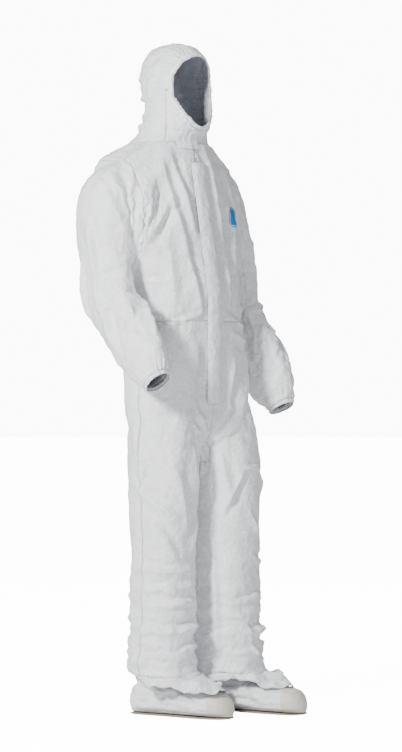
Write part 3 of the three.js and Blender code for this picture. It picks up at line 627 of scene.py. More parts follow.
@dataclass
class Garment:
    """The coverall's cloth: one net from hood to hems, draped, creased and cut into its panels."""

    form: SuitForm
    face: FaceOpening
    voxel: float = 0.010
    frames: int = 22
    piece: bpy.types.Object = field(default=None, repr=False)
    rest: Array = field(default=None, repr=False)

    arms = (RIGHT_ARM, LEFT_ARM)
    legs = (RIGHT_LEG, LEFT_LEG)

    def shells(self, grow: float) -> list[list[Array]]:
        """Lay out all the garment's forms, grown outwards by a distance."""
        forms = [self.form.body(grow), self.form.hood(grow)]
        forms += [self.form.leg(leg, grow) for leg in self.legs]
        forms += [self.form.sleeve(arm, grow) for arm in self.arms]
        return forms

    def weave(self) -> None:
        """Make the net and open it at the face, the wrists and the ankles."""
        self.piece = lofted("garment", self.shells(0.0))
        even_net(self.piece, self.voxel, 4)
        wrists = [(self.form.wrist(arm), self.form.fore_direction(arm)) for arm in self.arms]

        def gone(centres: Array, normals: Array) -> Array:
            out = (self.face.reach(centres) < 1) & (centres[:, 1] < -0.03) & (centres[:, 2] > 1.6)
            for wrist, along in wrists:
                near = np.linalg.norm(centres - wrist, axis=1) < 0.08
                out |= near & ((centres - wrist) @ along > -0.006)
            out |= (normals[:, 2] < -0.35) & (centres[:, 2] < 0.108)
            return out

        delete_faces(self.piece, gone)
        self.drop_scraps()
        points = points_of(self.piece)
        edge = np.array(edge_points(self.piece))
        rim = points[edge]
        at_face = rim[:, 2] > 1.5
        scale = self.face.reach(rim)[at_face, None]
        middle = np.array([0.0, 0.0, self.face.height])
        flat = (rim[at_face] - middle) / scale + middle
        rim[at_face] = np.column_stack([flat[:, 0], rim[at_face, 1], flat[:, 2]])
        loops = [(self.form.sleeve(arm, 0.0)[-1], arm.side, True) for arm in self.arms]
        loops += [(self.form.leg(leg, 0.0)[0], leg.side, False) for leg in self.legs]
        for loop, side, is_wrist in loops:
            mine = (np.sign(rim[:, 0]) == side) & ~at_face & ((rim[:, 2] > 0.4) == is_wrist)
            rim[mine] = nearest_on_loop(rim[mine], loop)
        points[edge] = rim
        put_points(self.piece, points)
        self.relax(edge, 12)

    def drop_scraps(self) -> None:
        """Keep only the largest connected part of the net."""
        net = bmesh.new()
        net.from_mesh(self.piece.data)
        seen: set[int] = set()
        parts: list[list[bmesh.types.BMVert]] = []
        for start in net.verts:
            if start.index in seen:
                continue
            part, stack = [], [start]
            seen.add(start.index)
            while stack:
                v = stack.pop()
                part.append(v)
                for e in v.link_edges:
                    other = e.other_vert(v)
                    if other.index not in seen:
                        seen.add(other.index)
                        stack.append(other)
            parts.append(part)
        parts.sort(key=len)
        for part in parts[:-1]:
            bmesh.ops.delete(net, geom=part, context="VERTS")
        net.to_mesh(self.piece.data)
        net.free()

    def relax(self, held: Array, rounds: int) -> None:
        """Even out the net next to its open edges, which stay where they are."""
        edges = edges_of(self.piece)
        points = points_of(self.piece)
        near = np.zeros(len(points))
        near[held] = 1.0
        for _ in range(4):
            near = np.maximum(near, spread(near, edges) * 1.3)
        near = np.clip(near, 0, 1)[:, None]
        near[held] = 0.0
        for _ in range(rounds):
            points += near * 0.5 * (spread(points, edges) - points)
        put_points(self.piece, points)

    def seams(self) -> list[Seam]:
        """List the straight cuts between the panels."""
        neck = self.form.neck
        trunk = lambda p: (np.abs(p[:, 0]) < self.form.armhole + 0.001) & (p[:, 2] < neck)
        legs = lambda p: (np.abs(p[:, 0]) < 0.215) & (p[:, 2] < WAIST + 0.001) & (p[:, 2] > 0.10)
        cuts = [
            Seam((0, 0, neck), Z, lambda p: p[:, 2] > 1.5),
            Seam((0, 0, 0), X, lambda p: (p[:, 2] < neck) & (p[:, 2] > 0.66)),
            Seam((-self.form.armhole, 0, 0), X, lambda p: p[:, 2] > 1.13),
            Seam((self.form.armhole, 0, 0), X, lambda p: p[:, 2] > 1.13),
            Seam((0, 0, WAIST), Z, lambda p: np.abs(p[:, 0]) < 0.195),
            Seam((0, SIDE_SEAM, 0), Y, lambda p: trunk(p) & (p[:, 2] > WAIST - 0.001)),
            Seam((0, LEG_SEAM, 0), Y, legs),
            Seam((-CROWN_SEAM, 0, 0), X, lambda p: (p[:, 2] > neck) & (p[:, 1] > -0.1)),
            Seam((CROWN_SEAM, 0, 0), X, lambda p: (p[:, 2] > neck) & (p[:, 1] > -0.1)),
            Seam((0, CHEEK_SEAM, 0), Y, lambda p: (p[:, 2] > neck) & (p[:, 2] < self.face.height)),
            Seam((0, 0, self.form.hem), Z, lambda p: p[:, 2] < 0.2),
        ]
        front = lambda p: (p[:, 1] < -0.06) & (p[:, 2] < SLOT_TOP + 0.012) & (p[:, 2] > SLOT_FOOT - 0.012)
        for side in (-1, 1):
            cuts.append(Seam((side * SLOT_HALF, 0, 0), X, front))
        cuts.append(Seam((0, 0, SLOT_TOP), Z, lambda p: (p[:, 1] < -0.06) & (np.abs(p[:, 0]) < 0.012)))
        cuts.append(Seam((0, 0, SLOT_FOOT), Z, lambda p: (p[:, 1] < -0.06) & (np.abs(p[:, 0]) < 0.012)))
        for arm in self.arms:
            along = self.form.fore_direction(arm)
            ring_at = self.form.wrist(arm) - along * 0.012
            cuts.append(
                Seam(tuple(ring_at), tuple(along), lambda p, c=ring_at: np.linalg.norm(p - c, axis=1) < 0.09)
            )
        crotch = np.array([0.0, LEG_SEAM, 0.74])
        gusset = lambda p: (np.abs(p - crotch) < (0.06, 0.08, 0.08)).all(axis=1)
        for side in (-1, 1):
            cuts.append(Seam((side * GUSSET_HALF, 0, 0), X, gusset))
            cuts.append(Seam((0, LEG_SEAM + side * GUSSET_DEEP, 0), Y, gusset))
        cuts.append(Seam((0, 0, GUSSET_FOOT), Z, gusset))
        return cuts

    def mark(self) -> None:
        """Put every seam's edges in the net and remember where each place lay before draping."""
        for seam in self.seams():
            seam.cut(self.piece, self.voxel * 0.33)
        self.rest = points_of(self.piece)
        keep_values(self.piece, "rest", self.rest)
        log.info("garment net: %d points", len(self.rest))

    def panel_names(self, at: Array) -> Array:
        """Name the sewn panel that each place on the undraped cloth belongs to."""
        x, y, z = at.T
        side = np.where(x < 0, "right_", "left_")
        low = np.char.add(side, np.where(y < LEG_SEAM, "front_trouser", "back_trouser"))
        high = np.char.add(side, np.where(y < SIDE_SEAM, "front_bodice", "back_bodice"))
        names = np.where(z < WAIST, low, high).astype(object)
        gusset = (np.abs(x) < GUSSET_HALF) & (np.abs(y - LEG_SEAM) < GUSSET_DEEP)
        gusset &= (z > GUSSET_FOOT) & (z < 0.8)
        names[gusset] = "crotch_gusset"
        names[(np.abs(x) < SLOT_HALF) & (y < -0.06) & (z > SLOT_FOOT) & (z < SLOT_TOP)] = NO_PANEL
        hems = z < self.form.hem
        names[hems] = np.char.add(side, "trouser_hem")[hems]
        sleeves = ((np.abs(x) > self.form.armhole) & (z > 1.13)) | ((np.abs(x) > 0.2145) & (z > 0.5))
        sleeves |= self.near_forearm(at)
        names[sleeves] = np.char.add(side, "sleeve")[sleeves]
        for arm in self.arms:
            past = (at - self.form.wrist(arm)) @ self.form.fore_direction(arm) > -0.012
            cuff = sleeves & past & (np.sign(x) == arm.side) & (z < 1.0)
            names[cuff] = arm.name + "_cuff_hem"
        hood = z > self.form.neck
        names[hood] = np.char.add("hood_", np.char.add(side, "side"))[hood]
        cheek = hood & (y < CHEEK_SEAM) & (z < self.face.height)
        names[cheek] = np.char.add("hood_", np.char.add(side, "cheek"))[cheek]
        names[hood & (np.abs(x) < CROWN_SEAM) & (y > CHEEK_SEAM)] = "hood_crown_strip"
        names[hood & (np.abs(x) < CROWN_SEAM) & (z > self.face.height)] = "hood_crown_strip"
        rim = hood & (self.face.reach(at) < 1.11) & (y < -0.02)
        names[rim & (z > self.face.height) & (np.abs(x) < CROWN_SEAM)] = "hood_crown_strip"
        return names

    def near_forearm(self, at: Array) -> Array:
        """Say which places lie on a forearm rather than on the hip beside it."""
        found = np.zeros(len(at), dtype=bool)
        for arm in self.arms:
            along = self.form.fore_direction(arm)
            start = self.form.wrist(arm) - along * self.form.fore_length
            t = np.clip((at - start) @ along, 0, self.form.fore_length)
            gap = at - start - t[:, None] * along
            near = (np.abs(gap[:, 0]) < 0.058) & (np.linalg.norm(gap, axis=1) < 0.1)
            found |= near & (np.abs(at[:, 0]) > 0.193)
        return found & (at[:, 2] > 0.8)


def edges_of(piece: bpy.types.Object) -> Array:
    """Read an object's edges, n by 2."""
    flat = np.empty(len(piece.data.edges) * 2, dtype=np.int32)
    piece.data.edges.foreach_get("vertices", flat)
    return flat.reshape(-1, 2)


def spread(values: Array, edges: Array) -> Array:
    """Average each vertex's neighbours."""
    total = np.zeros_like(values)
    count = np.zeros(len(values))
    for a, b in ((0, 1), (1, 0)):
        np.add.at(total, edges[:, a], values[edges[:, b]])
        np.add.at(count, edges[:, a], 1)
    return total / np.maximum(count, 1).reshape((-1,) + (1,) * (values.ndim - 1))


def wave(points: Array, scale: float, seed: float, stretch: Sequence[float] = (1, 1, 1)) -> Array:
    """Sample smooth noise from -1 to 1 at each point.

    Args:
        points: Where to sample.
        scale: The size of the pattern in metres.
        seed: An offset that gives another pattern.
        stretch: How much longer the pattern is along each axis.
    """
    at = points / (np.asarray(stretch) * scale) + seed
    return np.array([noise.noise(Vector(p)) for p in at]) * 1.6


def facets(points: Array, scale: float, seed: float, stretch: Sequence[float] = (1, 1, 1)) -> Array:
    """Sample crumpled facets: a height from -1 to 1 with straight creases between."""
    at = points / (np.asarray(stretch) * scale) + seed
    found = np.empty(len(at))
    for i, p in enumerate(at):
        found[i] = noise.voronoi(Vector(p), distance_metric="DISTANCE")[0][0]
    return 1 - 2 * np.clip(found, 0, 1)


@dataclass
class Fold:
    """One long crease along a line on the undraped cloth."""

    start: tuple[float, float, float]
    end: tuple[float, float, float]
    height: float
    width: float

    def lift(self, points: Array, normals: Array) -> Array:
        """Return how far the fold raises each point."""
        a, b = np.array(self.start), np.array(self.end)
        line = b - a
        t = ((points - a) @ line) / (line @ line)
        reach = np.clip(t, 0, 1)
        gap = points - a - reach[:, None] * line
        off = gap - (gap * normals).sum(1)[:, None] * normals
        across = np.cross(normals, line / np.linalg.norm(line))
        signed = (off * across).sum(1)
        far = np.linalg.norm(gap, axis=1)
        taper = np.sin(np.pi * np.clip(t, 0.0, 1.0)) ** 0.7
        taper *= 1 - smooth(0.05, 0.11, far)
        sharp = signed / self.width
        ridge = np.exp(-np.abs(sharp) ** 1.3)
        return 1.5 * self.height * taper * (ridge - 0.6 * np.exp(-((sharp - 1.6) ** 2)))


def excess_form(at: Array, form: SuitForm) -> Array:
    """Return where ungathered cloth would lie, longer and wider than the space it hangs in."""
    heights = np.linspace(0, 1.9, 400)
    stations = (0.0, 0.12, 0.30, 0.46, 0.62, 0.72, 0.84, 0.96, 1.07, 1.16, 1.26, 1.48, 1.56, 1.72, 1.9)
    longer = (0.16, 0.16, 0.10, 0.06, 0.04, 0.06, 0.05, 0.03, 0.09, 0.05, 0.02, 0.01, 0.05, 0.06, 0.05)
    extra = np.interp(heights, stations, longer)
    risen = np.concatenate([[0], np.cumsum((extra[1:] + extra[:-1]) / 2 * np.diff(heights))])
    wide_at = (0.0, 0.2, 0.5, 0.9, 1.07, 1.25, 1.5, 1.6, 1.9)
    wider = np.interp(at[:, 2], wide_at, (0.05, 0.03, 0.04, 0.05, 0.06, 0.05, 0.06, 0.03, 0.03))
    full = at.copy()
    full[:, :2] *= (1 + wider)[:, None]
    full[:, 2] += np.interp(at[:, 2], heights, risen)
    sleeve = smooth(form.armhole - 0.01, form.armhole + 0.025, np.abs(at[:, 0]))
    sleeve = sleeve * smooth(0.80, 0.90, at[:, 2])
    full[:, 2] += sleeve * 0.05 * (at[:, 2] - 1.39)
    return full


def drape(garment: Garment) -> None:
    """Let the cloth buckle under its own extra length and width, held at its elastics and its closure."""
    piece, rest = garment.piece, garment.rest
    unease = wave(rest, 0.035, 3.0, (1, 1, 1.6)) + wave(rest, 0.016, 9.0)
    put_points(piece, rest + normals_of(piece) * (unease * 0.0012)[:, None])
    piece.shape_key_add(name="Basis")
    cut = piece.shape_key_add(name="Cut")
    cut.data.foreach_set("co", excess_form(rest, garment.form).astype(np.float32).ravel())
    piece.data.shape_keys.key_blocks["Cut"].value = 0.0
    held = np.full(len(rest), 0.082)
    held[edge_points(piece)] = 1.0
    face = (rest[:, 2] > 1.58) & (rest[:, 1] < 0)
    held[face] = np.maximum(held[face], 1 - smooth(1.05, 1.3, garment.face.reach(rest[face])))
    front = rest[:, 1] < -0.05
    closure = front & (np.abs(rest[:, 0]) < 0.04) & (rest[:, 2] > 0.84) & (rest[:, 2] < 1.6)
    held[closure] = 0.8
    for arm in garment.arms:
        near = np.linalg.norm(rest - garment.form.wrist(arm), axis=1) < 0.045
        held[near] = np.maximum(held[near], 0.5)
    hood = rest[:, 2] > 1.75
    held[hood] = np.maximum(held[hood], 0.14)
    group = piece.vertex_groups.new(name="held")
    for level in np.unique(np.round(held, 2)):
        group.add([int(i) for i in np.flatnonzero(np.round(held, 2) == level)], float(level), "REPLACE")
    modifier = piece.modifiers.new("Drape", "CLOTH")
    cloth = modifier.settings
    cloth.quality = 6
    cloth.mass = 0.15
    cloth.tension_stiffness = 30
    cloth.compression_stiffness = 30
    cloth.shear_stiffness = 12
    cloth.bending_stiffness = 1.0
    cloth.tension_damping = 8
    cloth.compression_damping = 8
    cloth.shear_damping = 8
    cloth.bending_damping = 1
    cloth.vertex_group_mass = "held"
    cloth.pin_stiffness = 1.0
    cloth.rest_shape_key = cut
    cloth.effector_weights.gravity = 0.05
    modifier.collision_settings.use_collision = False
    modifier.point_cache.frame_start = 1
    modifier.point_cache.frame_end = garment.frames
    for frame_number in range(1, garment.frames + 1):
        bpy.context.scene.frame_set(frame_number)
    graph = bpy.context.evaluated_depsgraph_get()
    shown = piece.evaluated_get(graph)
    flat = np.empty(len(rest) * 3)
    shown.data.vertices.foreach_get("co", flat)
    moved = flat.reshape(-1, 3) - rest
    bpy.context.scene.frame_set(1)
    piece.modifiers.remove(modifier)
    piece.shape_key_clear()
    piece.vertex_groups.clear()
    far = np.linalg.norm(moved, axis=1)
    log.info("draped: moved %.1f mm on average, %.1f mm at most", far.mean() * 1000, far.max() * 1000)
    limit = 0.022
    moved *= (limit * np.tanh(far / limit) / np.maximum(far, 1e-9))[:, None]
    put_points(piece, rest + moved)


# ---------------------------------------------------------------------------------------------
# Creases, gathers and panels


@dataclass
class Gather:
    """Pleats that an elastic or a puckered seam pulls into the cloth beside it."""

    height: float
    reach: float
    pleats: float

    def lift(self, distance: Array, turn: Array, seed: float) -> Array:
        """Return how far the pleats raise each point.

        Args:
            distance: How far each point is from the elastic.
            turn: How far along the elastic it is, in radians.
            seed: An offset that gives another set of pleats.
        """
        place = np.column_stack([np.cos(turn), np.sin(turn), distance * 6])
        drift = wave(place, 0.55, seed) * 1.5 + wave(place, 0.22, seed + 4) * 0.7
        pleat = np.abs(np.sin(turn * self.pleats / 2 + drift)) ** 0.7 - 0.6
        uneven = 0.7 + 0.5 * wave(place, 0.30, seed + 6)
        longer = 0.75 + 0.6 * wave(place * [1, 1, 0], 0.2, seed + 8)
        fade = np.exp(-((np.maximum(distance, 0) / (self.reach * np.maximum(longer, 0.3))) ** 2))
        return self.height * pleat * uneven * fade


@dataclass
class Tailor:
    """Adds the fine shape to the draped cloth and cuts it into its sewn panels."""

    garment: Garment
    folds: Sequence[Fold]
    thickness: float = 0.0006
    face_gather: Gather = field(default_factory=lambda: Gather(0.0042, 0.026, 44.0))
    cuff_gather: Gather = field(default_factory=lambda: Gather(0.0062, 0.055, 22.0))
    waist_gather: Gather = field(default_factory=lambda: Gather(0.0050, 0.045, 64.0))
    seam: Array = field(default=None, repr=False)

    def finer(self) -> None:
        """Halve the net, and halve it again beside the elastics."""
        piece = self.garment.piece
        apply_modifier(piece, "SUBSURF", levels=1, render_levels=1)
        rest = read_values(piece, "rest")
        face = (rest[:, 2] > 1.56) & (rest[:, 1] < 0) & (self.garment.face.reach(rest) < 1.5)
        fine = face
        for arm in self.garment.arms:
            fine |= np.linalg.norm(rest - self.garment.form.wrist(arm), axis=1) < 0.075
        net = bmesh.new()
        net.from_mesh(piece.data)
        net.verts.ensure_lookup_table()
        edges = [e for e in net.edges if fine[e.verts[0].index] and fine[e.verts[1].index]]
        bmesh.ops.subdivide_edges(net, edges=edges, cuts=1, use_grid_fill=True)
        net.to_mesh(piece.data)
        net.free()
        log.info("finer net: %d points", len(piece.data.vertices))

    def find_seams(self) -> None:
        """Measure how far each place on the cloth is from the nearest seam or open edge."""
        piece = self.garment.piece
        rest = read_values(piece, "rest")
        names = self.panels()
        net = bmesh.new()
        net.from_mesh(piece.data)
        tree_points = []
        points = points_of(piece)
        for e in net.edges:
            faces = e.link_faces
            if len(faces) == 1 or names[faces[0].index] != names[faces[1].index]:
                a, b = e.verts[0].index, e.verts[1].index
                tree_points += [points[a], (points[a] + points[b]) / 2, points[b]]
        net.free()
        tree = kdtree.KDTree(len(tree_points))
        for i, p in enumerate(tree_points):
            tree.insert(Vector(p), i)
        tree.balance()
        self.seam = np.array([tree.find(Vector(p))[2] for p in points])
        # These 'seam' values drive painted shade: the cloth finish darkens its colour where they are high.
        keep_values(piece, "seam", np.exp(-((self.seam / 0.0016) ** 2)))
        log.info("seams: %d places", len(tree_points))
        self.rest = rest

    def face_rim(self) -> Array:
        """List how deep the face opening's edge lies at each angle, in the order of the angles."""
        points = points_of(self.garment.piece)
        edge = np.array(edge_points(self.garment.piece))
        edge = edge[self.rest[edge, 2] > 1.58]
        turn = self.garment.face.turn(self.rest[edge]) % (2 * math.pi)
        order = np.argsort(turn)
        return np.column_stack([turn[order], points[edge[order], 1]])

    def panels(self) -> Array:
        """Name each face's panel."""
        piece = self.garment.piece
        rest = read_values(piece, "rest")
        centres = np.array([rest[list(f.vertices)].mean(axis=0) for f in piece.data.polygons])
        return self.garment.panel_names(centres)

    def shape(self) -> None:
        """Press the seams in, pull the gathers and crumple the rest."""
        piece, form, face = self.garment.piece, self.garment.form, self.garment.face
        rest, seam = self.rest, self.seam
        normals = normals_of(piece)
        x, y, z = rest.T
        lift = np.zeros(len(rest))
        at_face = (z > 1.56) & (y < 0)
        reach = face.reach(rest[at_face])
        out = (reach - 1) * 0.085
        band = smooth(0.002, 0.012, out)
        lift[at_face] += self.face_gather.lift(out - 0.008, face.turn(rest[at_face]), 2.0) * band
        lift[at_face] += 0.0016 * np.exp(-(((out - 0.010) / 0.004) ** 2))
        for arm in self.garment.arms:
            wrist, along = form.wrist(arm), form.fore_direction(arm)
            off = rest - wrist
            near = np.linalg.norm(off, axis=1) < 0.12
            up = -(off[near] @ along)
            turn = np.arctan2(off[near][:, 1] + along[1] * up, off[near][:, 0] + along[0] * up)
            grow = smooth(0.003, 0.02, up)
            lift[near] += self.cuff_gather.lift(up - 0.012, turn, 5.0 + arm.side) * grow
            lift[near] -= 0.0018 * np.exp(-(((up - 0.012) / 0.004) ** 2))
        trunk = (np.abs(x) < form.armhole) & (np.abs(z - WAIST) < 0.16) & (self.zone_free(rest))
        turn = np.arctan2(y[trunk], x[trunk] * 0.75)
        sides = smooth(0.045, 0.11, np.abs(x[trunk])) * 0.85 + 0.15
        sides = np.where(y[trunk] > 0, 1.0, sides)
        lift[trunk] += self.waist_gather.lift(np.abs(z[trunk] - WAIST), turn, 11.0) * sides
        lift[trunk] -= 0.0040 * np.exp(-(((z[trunk] - WAIST) / 0.014) ** 2)) * sides
        pucker = wave(rest, 0.007, 21.0) * 0.0007 + wave(rest, 0.018, 23.0) * 0.0011
        lift += pucker * np.exp(-((seam / 0.012) ** 2))
        plain = 1 - 0.75 * np.exp(-(((z - WAIST) / 0.008) ** 2)) * (np.abs(x) < 0.2)
        lift -= 0.0015 * np.exp(-((seam / 0.0026) ** 2)) * plain
        lift += 0.0007 * np.exp(-(((seam - 0.006) / 0.003) ** 2)) * plain
        low = 1 - smooth(0.20, 0.52, z)
        crotch = np.exp(-(((z - 0.79) / 0.09) ** 2)) * np.exp(-((x / 0.11) ** 2))
        busy = 0.35 + 0.9 * low + 0.8 * crotch + 0.5 * np.exp(-(((z - WAIST) / 0.07) ** 2))
        busy += 0.4 * (z > form.neck) + 0.35 * (np.abs(x) > 0.2) * (z > 0.8)
        bent = rest + 0.010 * np.column_stack([wave(rest, 0.05, s) for s in (71.0, 73.0, 75.0)])
        lift += busy * 0.0013 * facets(bent, 0.018, 31.0, (1, 1, 0.8))
        lift += busy * 0.0030 * facets(bent, 0.046, 37.0, (1.1, 1.1, 0.7))
        lift += 0.0034 * facets(bent, 0.115, 39.0, (0.8, 0.8, 1.3))
        lift += 0.0042 * low * wave(bent, 0.050, 41.0, (1.7, 1.7, 0.36))
        hem = 1 - smooth(0.080, 0.125, z)
        lift += 0.0060 * hem * wave(rest, 0.045, 43.0) * smooth(0.074, 0.090, z)
        for fold in self.folds:
            span = max(0.13, np.linalg.norm(np.array(fold.end) - np.array(fold.start)) / 2 + 0.09)
            middle = (np.array(fold.start) + np.array(fold.end)) / 2
            near = np.linalg.norm(rest - middle, axis=1) < span
            lift[near] += fold.lift(rest[near], normals[near])
        closure = (y < -0.05) * smooth(0.83, 0.86, z) * (z < 1.6)
        lift *= 1 - closure * (1 - smooth(0.018, 0.042, np.abs(x)))
        points = points_of(piece) + normals * lift[:, None]
        points[:, 2] += hem * (wave(rest, 0.038, 45.0) * 0.011 + wave(rest, 0.016, 47.0) * 0.004 + 0.004)
        put_points(piece, points)

    @staticmethod
    def zone_free(rest: Array) -> Array:
        """Say which places are not on a forearm beside the waist."""
        return np.abs(rest[:, 0]) < 0.19

    def split(self, cloth: bpy.types.Material, inside: bpy.types.Material) -> dict[str, bpy.types.Object]:
        """Cut the cloth at its seams.

        Args:
            cloth: The outside's finish.
            inside: The inside's finish, a flat grey that is painted shade on the inner faces.

        Returns:
            Each panel by name, thickened inwards and in its place in the row frame.
        """
        names = self.panels()
        found = {}
        whole = self.garment.piece
        origin = frame_origin()
        for name in sorted(set(names) - {NO_PANEL}):
            net = bmesh.new()
            net.from_mesh(whole.data)
            net.faces.ensure_lookup_table()
            bmesh.ops.delete(net, geom=[f for f in net.faces if names[f.index] != name], context="FACES")
            mesh = bpy.data.meshes.new("cloth_" + name)
            net.to_mesh(mesh)
            net.free()
            mesh.transform(Matrix.Translation(origin))
            panel = bpy.data.objects.new("cloth_" + name, mesh)
            bpy.context.scene.collection.objects.link(panel)
            panel.data.materials.append(cloth)
            panel.data.materials.append(inside)
            # The inner faces get the inside finish, a grey that is painted shade.
            apply_modifier(
                panel,
                "SOLIDIFY",
                thickness=self.thickness,
                offset=-1.0,
                material_offset=1,
                material_offset_rim=0,
            )
            activate(panel)
            bpy.ops.object.shade_smooth()
            found[name] = panel
        bpy.data.objects.remove(whole)
        return found


# ---------------------------------------------------------------------------------------------
# Pieces laid on the cloth


@dataclass
class Surface:
    """The shaped cloth as something that other pieces lie on."""

    tree: BVHTree

    @classmethod
    def of(cls, piece: bpy.types.Object) -> "Surface":
        """Read an object's faces."""
        corners = [Vector(p) for p in points_of(piece)]
        return cls(BVHTree.FromPolygons(corners, [tuple(f.vertices) for f in piece.data.polygons]))

    def from_front(self, x: float, z: float, lift: float) -> Array:
        """Find the cloth straight behind a point seen from the front, and come forward by a distance."""
        hit, normal, _, _ = self.tree.ray_cast(Vector((x, -0.6, z)), Vector((0, 1, 0)))
        if hit is None:
            hit, normal, _, _ = self.tree.find_nearest(Vector((x, -0.1, z)))
        return np.array(hit) + np.array(normal if normal.y < 0 else -normal) * lift

    def nearest(self, point: Array, outward: Array, lift: float) -> Array:
        """Find the nearest cloth to a point, and move off it by a distance."""
        hit, normal, _, _ = self.tree.find_nearest(Vector(point))
        if np.dot(normal, outward) < 0:
            normal = -normal
        return np.array(hit) + np.array(normal) * lift


def grid_piece(name: str, rows: Sequence[Sequence[Array]], closed: bool = False) -> bpy.types.Object:
    """Make a sheet from rows of points; closed joins each row's ends."""
    wide = len(rows[0])
    points = [p for row in rows for p in row]
    faces = []
    for i in range(len(rows) - 1):
        for j in range(wide if closed else wide - 1):
            k = (j + 1) % wide
            faces.append([i * wide + j, i * wide + k, (i + 1) * wide + k, (i + 1) * wide + j])
    return mesh_piece(name, np.array(points), faces)


def face_outwards(piece: bpy.types.Object, centre: Sequence[float]) -> None:
    """Turn a sheet's faces so that they look away from a point."""
    middle = Vector(centre)
    away = sum((p.center - middle).dot(p.normal) * p.area for p in piece.data.polygons)
    if away < 0:
        piece.data.flip_normals()


def thicken(piece: bpy.types.Object, thickness: float, offset: float = -1.0) -> None:
    """Give a sheet its thickness."""
    apply_modifier(piece, "SOLIDIFY", thickness=thickness, offset=offset)


def finish_piece(
    piece: bpy.types.Object,
    finish: bpy.types.Material,
    nodes: Sequence[str],
    angle: float = 40.0,
) -> bpy.types.Object:
    """Move a piece into the row frame, give it its finish and say which nodes it stands for."""
    piece.data.transform(Matrix.Translation(frame_origin()))
    piece.data.materials.clear()
    piece.data.materials.append(finish)
    activate(piece)
    bpy.ops.object.shade_smooth_by_angle(angle=math.radians(angle))
    if nodes:
        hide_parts(*nodes)
    return piece


@dataclass
class Finishes:
    """Every finish of the object."""

    cloth: bpy.types.Material
    # the inner faces' finish: a grey that is painted shade, not the sheet's own white
    inside: bpy.types.Material
    trim: bpy.types.Material
    elastic: bpy.types.Material
    tape: bpy.types.Material
    nylon: bpy.types.Material
    metal: bpy.types.Material
    vinyl: bpy.types.Material
    tread: bpy.types.Material
    badge: bpy.types.Material


def hood_blend(piece: bpy.types.Object) -> None:
    """Bake a piece's placement into its points; it is not attached to any body."""
    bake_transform(piece)


